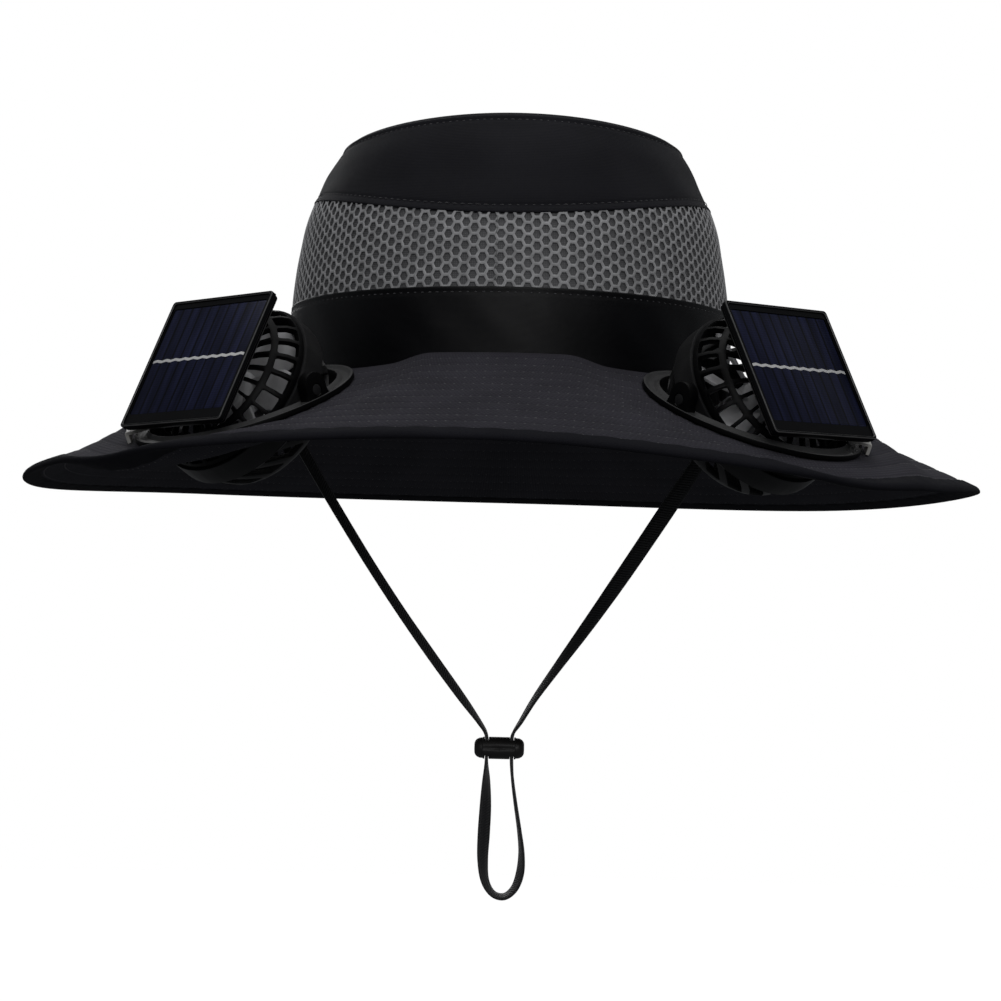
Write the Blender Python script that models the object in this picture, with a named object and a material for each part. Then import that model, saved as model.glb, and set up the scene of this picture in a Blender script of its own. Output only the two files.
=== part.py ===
# Sun hat with two solar fans, a mesh crown and a chin strap.
# Sizes are in metres and angles in degrees. The origin is the middle of the head opening, at the
# height where the crown is sewn to the brim. +Z is up and the front of the hat faces -Y.

import math

import bmesh
import bpy
from mathutils import Matrix, Vector

# Fits
gap = 0.0003            # between pieces that touch
running_gap = 0.001     # between the round fan head and its base

# Crown
crown_half_width = 0.085
crown_half_depth = 0.099
crown_height = 0.0883       # mean height of the top seam above the brim seam
crown_top_wave = 0.0017     # the top seam is this much higher in front and lower at the sides
crown_top_lean = 0.001      # and this much lower at the viewer's left, higher at the right
crown_dome = 0.004          # rise of the top panel inside its seam
cloth_wall = 0.0015
mesh_wall = 0.0012
mesh_top_front = 0.0515     # height of the seam above the mesh, in front and behind
mesh_top_side = 0.065
band_height = 0.024
band_wall = 0.002
band_proud = 0.0006         # how far the band stands out from the mesh
band_drop = 0.007           # how far the band reaches down inside the brim
around = 48                 # sides of the crown and brim

# Brim
brim_half_width = 0.1842
brim_half_depth = 0.200
brim_offset = 0.002         # the brim is cut this much wider at the viewer's left
brim_sway = 0.0011          # midway out, this much lower at the viewer's left and higher at the right
brim_drop = 0.0415          # mean drop of the rim below the brim seam
brim_wall = 0.0022
hem_width = 0.007
hem_wall = 0.0028

# Fan base
fan_azimuth = 43.5          # each side of the front
fan_radius = 0.134         # from the middle of the hat to the middle of the fan head
fan_height = -0.0172         # of the middle of the fan head
base_slope = 24.0           # of the flange, down towards the rim
base_turn = (3.0, 1.9)      # of the left and the right base in its hole, anticlockwise from above
base_seat = 0.003           # from the middle of the head to the top of the flange
flange_width = 0.0045       # beyond the collar
flange_wall = 0.0016
lip_width = 0.0012
lip_rise = 0.0004
dish_width = 0.0022
dish_depth = 0.0005
collar_wall = 0.0015
collar_rim = 0.0008
clamp_wall = 0.002
clamp_width = 0.0025
collar_end = 0.0004         # how far the collar reaches past the clamp ring
blend_start = 0.014         # beyond the flange the brim starts to leave its flat seat
blend_width = 0.016
ear_width = 0.010
ear_wall = 0.0045
ear_rise = 0.0065           # above the pivot
base_sides = 32

# Light tab on the outer side of the base
tab_angle = 42.0            # round the flange, from the rear end of the pivot towards the rim
tab_width = 0.010
tab_rise = 0.003            # of its bar above the lip
tab_inset = 0.0055          # how far its bar reaches in over the flange
tab_reach = 0.004           # how far it stands out past the flange
tab_wall = 0.0013

# Fan head
head_elevation = 27.9       # of the panel's facing direction, as shown
head_radius = 0.034         # of the smooth band
cage_radius = 0.0334
cage_depth = 0.0178         # from the middle to the front of the cage
cage_back = 0.019           # from the middle to the back of the cage
cage_wall = 0.002
head_band = 0.0045          # half the height of the smooth band
rib_count = 22
rib_width = 0.0018
vent_count = 12
vent_bar = 11.0             # angle of each bar between two vents
vent_slant = 14.0
pin_radius = 0.002
pin_clearance = 0.0003

# Sizes that follow the fan head
bore = head_radius + running_gap
flange_radius = bore + collar_wall + flange_width

# Motor and impeller
motor_radius = 0.0085
motor_height = 0.0095
shaft_radius = 0.0015
shaft_clearance = 0.0003
hub_radius = 0.0085
hub_height = 0.009
impeller_middle = 0.001     # height of the impeller's middle in the head
blade_count = 7
blade_tip_clearance = 0.0025
blade_pitch = 34.0
blade_wall = 0.0012
blade_root_chord = 0.0095
blade_tip_chord = 0.0150

# Solar panel
panel_size = 0.0534
panel_wall = 0.0038
panel_corner = 0.0014
panel_bevel = 0.0006
panel_side_border = 0.0018
panel_head_border = 0.0032
panel_foot_border = 0.0052
cell_recess = 0.0011
cell_wall = 0.0006
neck_radius = 0.0165
neck_height = 0.0028

# Strap and toggle
strap_width = 0.0065
strap_wall = 0.0012
lock_length = 0.0195
lock_height = 0.0086
lock_depth = 0.0098
lock_centre = 0.145         # below the brim seam
lock_aside = -0.0008        # from the middle, towards the viewer's left
lock_slot_offset = 0.0049

# The crown's outline: height and half-sizes at each section, as shares of the named sizes
crown_sections = (
    # height, half-width, half-depth
    (-0.10, 1.000, 1.000),
    (0.00, 1.000, 1.000),
    (0.27, 0.996, 0.998),
    (0.42, 0.980, 0.986),
    (0.53, 0.961, 0.972),
    (0.635, 0.940, 0.950),
    (0.74, 0.901, 0.912),
    (0.85, 0.852, 0.872),
    (0.95, 0.805, 0.830),
    (1.00, 0.786, 0.814),
    (1.05, 0.766, 0.798),
)

# The rim's drop at each azimuth, from the front towards the viewer's right, as a share of brim_drop
rim_sections = (
    # azimuth, drop
    (-180, 0.95),
    (-135, 0.98),
    (-90, 1.08),
    (-45, 0.965),
    (0, 0.865),
    (45, 1.10),
    (90, 0.995),
    (135, 1.03),
)

# The brim's fall between the seam and the hem: share of the way out and share of the drop
brim_sections = (
    # way out, fall
    (0.00, 0.00),
    (0.28, 0.30),
    (0.48, 0.50),
    (0.68, 0.70),
    (0.86, 0.87),
    (1.00, 1.00),
)

# The top panel: share of the way from its middle to its seam
tip_sections = (0.25, 0.65, 1.00)

# The front of the cage: height as a share of cage_depth, radius as a share of cage_radius, and what
# lies between this section and the next
front_cage_sections = (
    # height, radius, next
    (0.382, 0.979, "ribs"),
    (0.744, 0.850, "ring"),
    (0.847, 0.796, "ribs"),
    (1.000, 0.494, "hub"),
)

# The back of the cage below the smooth band: height as a share of cage_back
rear_cage_sections = (
    # height, radius, next
    (-0.29, 0.970, "vents"),
    (-0.74, 0.868, "ring"),
    (-0.95, 0.760, "ring"),
    (-1.00, 0.665, "spokes"),
    (-1.00, 0.290, "hub"),
)

# The strap's route, from the anchor at the viewer's left to the one at the right, and the turn of
# its flat side away from the side view
strap_route = (
    # x, y, z, turn
    (-0.0885, 0.000, -0.0052, 10),
    (-0.0883, 0.000, -0.0100, 18),
    (-0.0866, 0.000, -0.0180, 28),
    (-0.0820, 0.000, -0.0275, 32),
    (-0.0735, 0.000, -0.0418, 30),
    (-0.0649, 0.000, -0.0557, 29),
    (-0.0530, 0.000, -0.0742, 27),
    (-0.0407, 0.000, -0.0922, 26),
    (-0.0281, 0.000, -0.1095, 27),
    (-0.0164, 0.000, -0.1250, 22),
    (-0.0090, 0.000, -0.1348, 8),
    (-0.0060, 0.000, -0.1398, 0),
    (-0.0057, 0.000, -0.1450, 0),
    (-0.0057, 0.000, -0.1505, 0),
    (-0.0056, 0.000, -0.1575, 20),
    (-0.0057, 0.000, -0.1680, 38),
    (-0.0061, 0.000, -0.1785, 42),
    (-0.0063, 0.000, -0.1880, 34),
    (-0.0053, 0.000, -0.1962, 22),
    (-0.0022, 0.000, -0.2013, 14),
    (0.0023, 0.000, -0.2024, 16),
    (0.0062, 0.000, -0.1992, 22),
    (0.0083, 0.000, -0.1932, 26),
    (0.0087, 0.000, -0.1855, 18),
    (0.0077, 0.000, -0.1770, 10),
    (0.0059, 0.000, -0.1660, 6),
    (0.0046, 0.000, -0.1570, 3),
    (0.0041, 0.000, -0.1505, 0),
    (0.0041, 0.000, -0.1450, 0),
    (0.0043, 0.000, -0.1398, 0),
    (0.0074, 0.000, -0.1345, 10),
    (0.0130, 0.000, -0.1250, 18),
    (0.0218, 0.000, -0.1122, 30),
    (0.0300, 0.000, -0.1005, 44),
    (0.0374, 0.000, -0.0897, 56),
    (0.0450, 0.000, -0.0783, 66),
    (0.0525, 0.000, -0.0668, 72),
    (0.0640, 0.000, -0.0489, 78),
    (0.0752, 0.000, -0.0314, 60),
    (0.0850, 0.000, -0.0160, 30),
    (0.0885, 0.000, -0.0052, 10),
)
strap_steps = 56


# Plain geometry

def interpolate(table, column, key):
    """Straight interpolation of one column of a table over its first column."""
    for lower, upper in zip(table, table[1:]):
        if key <= upper[0] or upper is table[-1]:
            share = (key - lower[0]) / (upper[0] - lower[0])
            return lower[column] + share * (upper[column] - lower[column])


def smooth_step(value):
    value = min(max(value, 0.0), 1.0)
    return value * value * (3.0 - 2.0 * value)


def curve_between(before, start, end, after, share):
    """Catmull-Rom curve through start and end."""
    return 0.5 * (
        2.0 * start
        + (end - before) * share
        + (2.0 * before - 5.0 * start + 4.0 * end - after) * share ** 2
        + (3.0 * start - before - 3.0 * end + after) * share ** 3
    )


def polar(radius, angle, height):
    turn = math.radians(angle)
    return Vector((radius * math.cos(turn), radius * math.sin(turn), height))


def azimuths():
    return [360.0 * step / around for step in range(around)]


def ellipse_point(half_width, half_depth, azimuth, height):
    """Point at an azimuth counted from the front, -Y, towards +X."""
    turn = math.radians(azimuth)
    return Vector((half_width * math.sin(turn), -half_depth * math.cos(turn), height))


def offset_profile(profile, wall):
    """The (radius, height) profile moved inwards by a wall, to the left of its run."""
    moved = []
    for index, (radius, height) in enumerate(profile):
        before = profile[max(index - 1, 0)]
        after = profile[min(index + 1, len(profile) - 1)]
        run = Vector((after[0] - before[0], after[1] - before[1])).normalized()
        moved.append((radius - run.y * wall, height + run.x * wall))
    return moved


# Building objects

def paint(thing, colour, roughness, metallic=0.0):
    """Give an object a material of its own."""
    material = bpy.data.materials.new(thing.name)
    material.use_nodes = True
    shader = material.node_tree.nodes["Principled BSDF"]
    shader.inputs["Base Color"].default_value = (*colour, 1.0)
    shader.inputs["Roughness"].default_value = roughness
    shader.inputs["Metallic"].default_value = metallic
    thing.data.materials.append(material)


def add_object(name, mesh, parent=None, smooth_angle=35.0):
    data = bpy.data.meshes.new(name)
    mesh.to_mesh(data)
    mesh.free()
    data.shade_smooth()
    data.set_sharp_from_angle(angle=math.radians(smooth_angle))
    thing = bpy.data.objects.new(name, data)
    bpy.context.scene.collection.objects.link(thing)
    thing.parent = parent
    return thing


def loft(name, loops, parent=None, closed=False):
    """A solid skinned over loops of points, closed into a ring or capped at both ends."""
    mesh = bmesh.new()
    rows = [[mesh.verts.new(point) for point in loop] for loop in loops]
    pairs = list(zip(rows, rows[1:]))
    if closed:
        pairs.append((rows[-1], rows[0]))
    for lower, upper in pairs:
        for index in range(len(lower)):
            after = (index + 1) % len(lower)
            mesh.faces.new((lower[index], lower[after], upper[after], upper[index]))
    if not closed:
        mesh.faces.new(list(reversed(rows[0])))
        mesh.faces.new(rows[-1])
    bmesh.ops.recalc_face_normals(mesh, faces=mesh.faces)
    return add_object(name, mesh, parent)


def turned(name, profile, sides, parent=None, closed=False):
    """A solid turned round Z from a (radius, height) profile."""
    loops = []
    for radius, height in profile:
        loops.append([polar(radius, 360.0 * step / sides, height) for step in range(sides)])
    return loft(name, loops, parent, closed)


def pierced_shell(name, profile, wall, columns, is_open, shifts, parent):
    """A turned shell with some of its cells left open. Its first edge is open, its last is a hub."""
    mesh = bmesh.new()

    def grid(points):
        rows = []
        for (radius, height), shift in zip(points, shifts):
            rows.append([mesh.verts.new(polar(radius, angle + shift, height)) for angle in columns])
        return rows

    outer = grid(profile)
    inner = grid(offset_profile(profile, wall))
    count = len(columns)
    last = len(profile) - 1

    def rim(first, second):
        ends = (outer[first[0]][first[1]], outer[second[0]][second[1]])
        backs = (inner[second[0]][second[1]], inner[first[0]][first[1]])
        mesh.faces.new((*ends, *backs))

    for row in range(last):
        for column in range(count):
            if is_open(row, column):
                continue
            after = (column + 1) % count
            corners = ((row, column), (row, after), (row + 1, after), (row + 1, column))
            mesh.faces.new([outer[place[0]][place[1]] for place in corners])
            mesh.faces.new([inner[place[0]][place[1]] for place in reversed(corners)])
            if row == 0 or is_open(row - 1, column):
                rim(corners[0], corners[1])
            if row + 1 < last and is_open(row + 1, column):
                rim(corners[2], corners[3])
            if is_open(row, (column - 1) % count):
                rim(corners[3], corners[0])
            if is_open(row, after):
                rim(corners[1], corners[2])
    if is_open(last - 1, 1):
        for column in range(count):
            if is_open(last - 1, column):
                rim((last, column), (last, (column + 1) % count))
    mesh.faces.new(outer[last])
    mesh.faces.new(inner[last])
    bmesh.ops.recalc_face_normals(mesh, faces=mesh.faces)
    return add_object(name, mesh, parent)


def block(name, low, high, parent):
    """A box between two corners."""
    mesh = bmesh.new()
    bmesh.ops.create_cube(mesh, size=1.0)
    size = Vector(high) - Vector(low)
    middle = (Vector(high) + Vector(low)) / 2.0
    bmesh.ops.scale(mesh, vec=size, verts=mesh.verts)
    bmesh.ops.translate(mesh, vec=middle, verts=mesh.verts)
    return add_object(name, mesh, parent)


def combine(thing, tool, operation):
    """Join a tool to an object, or cut it out, and leave the tool out of the model."""
    modifier = thing.modifiers.new(tool.name, "BOOLEAN")
    modifier.operation = operation
    modifier.object = tool
    tool.hide_render = True
    tool.display_type = "WIRE"


def rounded_square(size, foot, head, side, corner, height, steps=3):
    """Outline of a square plate cut back at its foot, head and sides, with round corners."""
    half = size / 2.0
    centres = (
        (half - side - corner, half - head - corner, 0.0),
        (-half + side + corner, half - head - corner, 90.0),
        (-half + side + corner, -half + foot + corner, 180.0),
        (half - side - corner, -half + foot + corner, 270.0),
    )
    points = []
    for x, y, start in centres:
        for step in range(steps + 1):
            points.append(Vector((x, y, 0.0)) + polar(corner, start + 90.0 * step / steps, height))
    return points


# Crown

def crown_size(height):
    """Outer half-width and half-depth of the crown at a height."""
    share = height / crown_height
    half_width = crown_half_width * interpolate(crown_sections, 1, share)
    half_depth = crown_half_depth * interpolate(crown_sections, 2, share)
    return half_width, half_depth


def top_seam(azimuth):
    turn = math.radians(azimuth)
    return crown_height + crown_top_wave * math.cos(2.0 * turn) + crown_top_lean * math.sin(turn)


def mesh_seam(azimuth):
    front = math.cos(math.radians(azimuth)) ** 2
    return mesh_top_side + (mesh_top_front - mesh_top_side) * front


def crown_loop(height_at, outward):
    """Loop round the crown at a height that may change with the azimuth, moved outward."""
    points = []
    for azimuth in azimuths():
        height = height_at(azimuth)
        half_width, half_depth = crown_size(height)
        points.append(ellipse_point(half_width + outward, half_depth + outward, azimuth, height))
    return points


def crown_wall(name, bottom, top, shares, wall, proud=0.0):
    """A ring of the crown between two seams."""
    def height_at(share):
        return lambda azimuth: bottom(azimuth) + share * (top(azimuth) - bottom(azimuth))
    outer = [crown_loop(height_at(share), proud) for share in shares]
    inner = [crown_loop(height_at(share), proud - wall) for share in reversed(shares)]
    return loft(name, outer + inner, closed=True)


def make_crown():
    band = crown_wall(
        "crown_band", lambda azimuth: -band_drop, lambda azimuth: band_height,
        (0.0, 1.0), band_wall, band_proud)
    paint(band, (0.012, 0.012, 0.015), 0.7)
    net = crown_wall(
        "crown_mesh", lambda azimuth: band_height + gap, mesh_seam, (0.0, 0.5, 1.0), mesh_wall)
    paint(net, (0.085, 0.085, 0.09), 0.8)
    upper = crown_wall(
        "crown_upper", lambda azimuth: mesh_seam(azimuth) + gap,
        lambda azimuth: top_seam(azimuth) - cloth_wall - gap, (0.0, 0.5, 1.0), cloth_wall)
    paint(upper, (0.011, 0.011, 0.014), 0.75)
    tip = make_crown_tip()
    paint(tip, (0.011, 0.011, 0.014), 0.75)


def make_crown_tip():
    """The top panel, a shallow dome that closes the crown."""
    def loop(share, drop):
        points = []
        for azimuth in azimuths():
            half_width, half_depth = crown_size(top_seam(azimuth))
            rise = crown_dome * (1.0 - share ** 2)
            wave = (top_seam(azimuth) - crown_height) * share ** 2
            height = crown_height + rise + wave - drop
            points.append(ellipse_point(share * half_width, share * half_depth, azimuth, height))
        return points
    outer = [loop(share, 0.0) for share in tip_sections]
    inner = [loop(share, cloth_wall) for share in reversed(tip_sections)]
    return loft("crown_tip", outer + inner)


# Brim

def unit_frame(side):
    """Frame of a fan unit: X along its pivot, -Y towards the rim. side is -1 left, 1 right."""
    azimuth = math.radians(side * fan_azimuth)
    place = ellipse_point(fan_radius, fan_radius, side * fan_azimuth, fan_height)
    return Matrix.Translation(place) @ Matrix.Rotation(azimuth, 4, "Z")


def base_frame(side):
    """Frame of a base, leaned with the brim and turned a little in its hole."""
    turn = base_turn[0] if side < 0 else base_turn[1]
    lean = Matrix.Rotation(math.radians(base_slope), 4, "X")
    return unit_frame(side) @ lean @ Matrix.Rotation(math.radians(turn), 4, "Z")


def seat_level():
    """Height of the brim's top under the flange, along the base's own axis."""
    return -base_seat - flange_wall - gap


def rim_drop(azimuth):
    """Drop of the rim, smooth all the way round."""
    step = 360.0 / len(rim_sections)
    place = ((azimuth + 180.0) % 360.0) / step
    index = int(place)
    shares = [rim_sections[(index + shift) % len(rim_sections)][1] for shift in (-1, 0, 1, 2)]
    return brim_drop * curve_between(*shares, place - index)


def ellipse_radius(half_width, half_depth, azimuth):
    turn = math.radians(azimuth)
    return 1.0 / math.hypot(math.sin(turn) / half_width, math.cos(turn) / half_depth)


def rim_radius(azimuth):
    """The rim's ellipse, pushed a little towards the viewer's left."""
    offset = -brim_offset * math.sin(math.radians(azimuth))
    return ellipse_radius(brim_half_width, brim_half_depth, azimuth) + offset


def seam_radius(azimuth):
    """Where the brim meets the outside of the band."""
    half_width, half_depth = crown_size(0.0)
    clear = band_proud + gap
    return ellipse_radius(half_width + clear, half_depth + clear, azimuth)


def brim_top(azimuth, radius):
    """Height of the brim's top side: a wide cone, pressed flat where a fan base sits on it."""
    start = seam_radius(azimuth)
    end = rim_radius(azimuth)
    out = (radius - start) / (end - start)
    natural = -rim_drop(azimuth) * interpolate(brim_sections, 1, out)
    natural += brim_sway * math.sin(math.radians(azimuth)) * math.sin(math.pi * out)
    place = ellipse_point(radius, radius, azimuth, 0.0)
    for side in (-1, 1):
        frame = base_frame(side)
        normal = frame.to_3x3() @ Vector((0.0, 0.0, 1.0))
        seat = frame @ Vector((0.0, 0.0, seat_level()))
        flat = seat.z - (normal.x * (place.x - seat.x) + normal.y * (place.y - seat.y)) / normal.z
        local = frame.inverted() @ Vector((place.x, place.y, flat))
        away = math.hypot(local.x, local.y) - flange_radius - blend_start
        weight = 1.0 - smooth_step(away / blend_width)
        natural += weight * (flat - natural)
    return natural


def brim_loop(share, lowered):
    """Loop round the brim at a share of the way from the seam to the hem."""
    points = []
    for azimuth in azimuths():
        start = seam_radius(azimuth)
        end = rim_radius(azimuth) - hem_width - gap
        radius = start + share * (end - start)
        height = brim_top(azimuth, radius) - lowered
        points.append(ellipse_point(radius, radius, azimuth, height))
    return points


def hem_loop(inset, lowered):
    """Loop round the hem at a distance in from the rim."""
    points = []
    for azimuth in azimuths():
        radius = rim_radius(azimuth) - inset
        height = brim_top(azimuth, radius) - lowered
        points.append(ellipse_point(radius, radius, azimuth, height))
    return points


def make_brim():
    fall = brim_wall / math.cos(math.radians(base_slope))
    shares = [row[0] for row in brim_sections]
    top = [brim_loop(share, 0.0) for share in shares]
    bottom = [brim_loop(share, fall) for share in reversed(shares)]
    brim = loft("brim", top + bottom, closed=True)
    paint(brim, (0.022, 0.023, 0.028), 0.8)
    for side in (-1, 1):
        depth = 4.0 * brim_wall
        hole_radius = bore + collar_wall + gap
        level = seat_level() - brim_wall / 2.0
        profile = ((hole_radius, level - depth), (hole_radius, level + depth))
        cutter = turned(f"brim_hole_{side}", profile, base_sides)
        cutter.matrix_world = base_frame(side)
        combine(brim, cutter, "DIFFERENCE")
    proud = (hem_wall - brim_wall) / 2.0
    hem = loft("brim_edge", [
        hem_loop(hem_width, -proud),
        hem_loop(hem_wall / 2.0, -proud),
        hem_loop(0.0, hem_wall / 2.0 - proud),
        hem_loop(hem_wall / 2.0, hem_wall - proud),
        hem_loop(hem_width, hem_wall - proud),
    ], closed=True)
    paint(hem, (0.016, 0.017, 0.021), 0.75)


# Fan base

def make_base(word, side):
    carrier = bpy.data.objects.new(f"{word}_base", None)
    bpy.context.scene.collection.objects.link(carrier)
    carrier.matrix_world = base_frame(side)
    top = -base_seat
    under = top - flange_wall
    clamp_top = seat_level() - brim_wall - gap
    clamp_bottom = clamp_top - clamp_wall
    ring = turned(f"{word}_base_ring", (
        (flange_radius, under),
        (flange_radius, top + lip_rise),
        (flange_radius - lip_width, top + lip_rise),
        (flange_radius - dish_width, top - dish_depth),
        (bore + collar_wall, top - dish_depth),
        (bore, top + collar_rim),
        (bore, clamp_bottom - collar_end),
        (bore + collar_wall, clamp_bottom - collar_end),
        (bore + collar_wall, under),
    ), base_sides, carrier, closed=True)
    for end, hand in (("rear", -1), ("front", 1)):
        ear = make_ear(f"{word}_{end}_ear", hand, under, carrier)
        combine(ring, ear, "UNION")
    hole = turned(f"{word}_pivot_hole", (
        (pin_radius + pin_clearance, -2.0 * flange_radius),
        (pin_radius + pin_clearance, 2.0 * flange_radius),
    ), 12, carrier)
    hole.rotation_euler = (0.0, math.radians(90.0), 0.0)
    combine(ring, hole, "DIFFERENCE")
    paint(ring, (0.012, 0.012, 0.013), 0.3)
    clamp = turned(f"{word}_clamp_ring", (
        (bore + collar_wall + gap, clamp_bottom),
        (bore + collar_wall + gap + clamp_width, clamp_bottom),
        (bore + collar_wall + gap + clamp_width, clamp_top),
        (bore + collar_wall + gap, clamp_top),
    ), base_sides, carrier, closed=True)
    paint(clamp, (0.012, 0.012, 0.013), 0.35)
    make_tab(word, side, top, under, carrier)


def make_ear(name, hand, under, carrier):
    """A round-topped ear that stands on the flange and holds one end of the pivot."""
    half = ear_width / 2.0
    bottom = under + flange_wall / 2.0
    centre = ear_rise - half
    outline = [(half, bottom), (half, centre)]
    for step in range(1, 6):
        turn = math.radians(180.0 * step / 6)
        outline.append((half * math.cos(turn), centre + half * math.sin(turn)))
    outline += [(-half, centre), (-half, bottom)]
    near = hand * bore
    far = hand * (bore + ear_wall)
    loops = [[Vector((x, y, z)) for y, z in outline] for x in (near, far)]
    return loft(name, loops, carrier)


def make_tab(word, side, top, under, carrier):
    """The light tab: a bar held over the lip by a leg that stands outside the flange."""
    inner = flange_radius - tab_inset
    outer = flange_radius + tab_reach
    floor = top + lip_rise + tab_rise
    roof = floor + tab_wall
    leg = outer - tab_wall
    section = ((inner, floor), (leg, floor), (leg, under), (outer, under), (outer, roof), (inner, roof))
    ends = (-tab_width / 2.0, tab_width / 2.0)
    turn = 180.0 if side > 0 else 0.0
    direction = turn + 180.0 + side * -tab_angle
    rotate = Matrix.Rotation(math.radians(direction), 4, "Z")
    loops = [[rotate @ Vector((radius, along, height)) for radius, height in section] for along in ends]
    tab = loft(f"{word}_base_tab", loops, carrier)
    paint(tab, (0.42, 0.41, 0.39), 0.4)


# Fan head

def head_profile(sections, depth):
    return [(cage_radius * row[1], depth * row[0]) for row in sections]


def make_front_cage(word, carrier):
    start = head_band + gap
    profile = [(math.sqrt(cage_radius ** 2 - start ** 2), start)]
    profile += head_profile(front_cage_sections, cage_depth)
    kinds = ["ring"] + [row[2] for row in front_cage_sections]
    rib_angle = math.degrees(rib_width / cage_radius)
    columns = []
    for rib in range(rib_count):
        middle = 360.0 * (rib + 0.5) / rib_count
        columns += [middle - rib_angle / 2.0, middle + rib_angle / 2.0]

    def is_open(row, column):
        return kinds[row] == "ribs" and column % 2 == 1

    shifts = [0.0] * len(profile)
    name = f"{word}_front_cage"
    cage = pierced_shell(name, profile, cage_wall, columns, is_open, shifts, carrier)
    paint(cage, (0.012, 0.012, 0.013), 0.28)


def make_rear_cage(word, carrier):
    profile = [(head_radius, head_band), (head_radius, -head_band)]
    profile += head_profile(rear_cage_sections, cage_back)
    kinds = ["band", "ring"] + [row[2] for row in rear_cage_sections]
    columns = []
    for vent in range(vent_count):
        start = 360.0 * vent / vent_count
        columns += [start, start + vent_bar]

    def is_open(row, column):
        if kinds[row] == "vents":
            return column % 2 == 1
        if kinds[row] == "spokes":
            return column % 4 != 0
        return False

    shifts = [0.0 if height > rear_cage_sections[1][0] * cage_back + gap else vent_slant
              for radius, height in profile]
    name = f"{word}_rear_cage"
    # The profile runs downwards here, so its wall lies on the other side.
    cage = pierced_shell(name, profile, -cage_wall, columns, is_open, shifts, carrier)
    for end, hand in (("rear", -1), ("front", 1)):
        start = head_radius - cage_wall / 2.0
        finish = head_radius + running_gap + ear_wall
        pin = turned(f"{word}_{end}_pin", ((pin_radius, start), (pin_radius, finish)), 12, carrier)
        pin.rotation_euler = (0.0, math.radians(90.0 * hand), 0.0)
        combine(cage, pin, "UNION")
    paint(cage, (0.012, 0.012, 0.013), 0.28)


def make_motor(word, carrier):
    floor = -cage_back + cage_wall + gap
    impeller_top = impeller_middle + hub_height / 2.0
    motor = turned(f"{word}_motor", (
        (motor_radius, floor),
        (motor_radius, floor + motor_height),
        (shaft_radius, floor + motor_height),
        (shaft_radius, impeller_top),
    ), 12, carrier)
    paint(motor, (0.25, 0.25, 0.26), 0.35, 0.8)


def make_impeller(word, carrier):
    spinner = bpy.data.objects.new(f"{word}_spinner", None)
    bpy.context.scene.collection.objects.link(spinner)
    spinner.parent = carrier
    spinner.location = (0.0, 0.0, impeller_middle)
    half = hub_height / 2.0
    shaft_bore = shaft_radius + shaft_clearance
    impeller = turned(f"{word}_impeller", (
        (hub_radius, -half), (hub_radius, half), (shaft_bore, half), (shaft_bore, -half),
    ), 14, spinner, closed=True)
    root = hub_radius - blade_wall
    tip = cage_radius - cage_wall - blade_tip_clearance
    for blade in range(blade_count):
        loops = []
        for share in (0.0, 0.5, 1.0):
            radius = root + share * (tip - root)
            chord = blade_root_chord + share * (blade_tip_chord - blade_root_chord)
            pitch = math.radians(blade_pitch * (1.1 - 0.3 * share))
            loops.append(blade_section(radius, chord, pitch))
        vane = loft(f"{word}_blade_{blade}", loops, spinner)
        vane.rotation_euler = (0.0, 0.0, math.radians(360.0 * blade / blade_count))
        combine(impeller, vane, "UNION")
    paint(impeller, (0.11, 0.11, 0.115), 0.4)


def blade_section(radius, chord, pitch):
    """A flat section of a blade, across a radius that lies along X."""
    across = Vector((0.0, math.cos(pitch), math.sin(pitch)))
    thick = Vector((0.0, -math.sin(pitch), math.cos(pitch)))
    middle = Vector((radius, 0.0, 0.0))
    corners = ((-1, -1), (1, -1), (1, 1), (-1, 1))
    return [middle + across * (chord / 2.0 * a) + thick * (blade_wall / 2.0 * b) for a, b in corners]


def make_panel(word, carrier):
    bottom = cage_depth + gap
    neck = turned(f"{word}_panel_neck", (
        (neck_radius, bottom),
        (neck_radius, bottom + 0.45 * neck_height),
        (0.8 * neck_radius, bottom + 0.6 * neck_height),
        (0.8 * neck_radius, bottom + neck_height),
    ), 16, carrier)
    paint(neck, (0.012, 0.012, 0.013), 0.35)
    back = bottom + neck_height + gap
    front = back + panel_wall
    outer = (panel_size, 0.0, 0.0, 0.0, panel_corner)
    bevelled = (panel_size, panel_bevel, panel_bevel, panel_bevel, panel_corner)
    corner = panel_corner / 2.0
    opening = (panel_size, panel_foot_border, panel_head_border, panel_side_border, corner)
    borders = (panel_foot_border + gap, panel_head_border + gap, panel_side_border + gap)
    inside = (panel_size, *borders, corner)
    frame = loft(f"{word}_panel_frame", [
        rounded_square(*bevelled, back),
        rounded_square(*outer, back + panel_bevel),
        rounded_square(*outer, front - panel_bevel),
        rounded_square(*bevelled, front),
        rounded_square(*opening, front),
        rounded_square(*opening, front - cell_recess),
    ], carrier)
    paint(frame, (0.010, 0.010, 0.011), 0.12)
    cell_floor = front - cell_recess + gap
    cells = loft(f"{word}_solar_cells", [
        rounded_square(*inside, cell_floor),
        rounded_square(*inside, cell_floor + cell_wall),
    ], carrier)
    paint(cells, (0.012, 0.013, 0.035), 0.12)


def make_fan(word, side):
    """One fan unit. The head turns about the X axis of its carrier."""
    make_base(word, side)
    carrier = bpy.data.objects.new(f"{word}_head", None)
    bpy.context.scene.collection.objects.link(carrier)
    lean = Matrix.Rotation(math.radians(90.0 - head_elevation - base_slope), 4, "X")
    carrier.matrix_world = base_frame(side) @ lean
    make_front_cage(word, carrier)
    make_rear_cage(word, carrier)
    make_motor(word, carrier)
    make_impeller(word, carrier)
    make_panel(word, carrier)


# Strap and toggle

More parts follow.
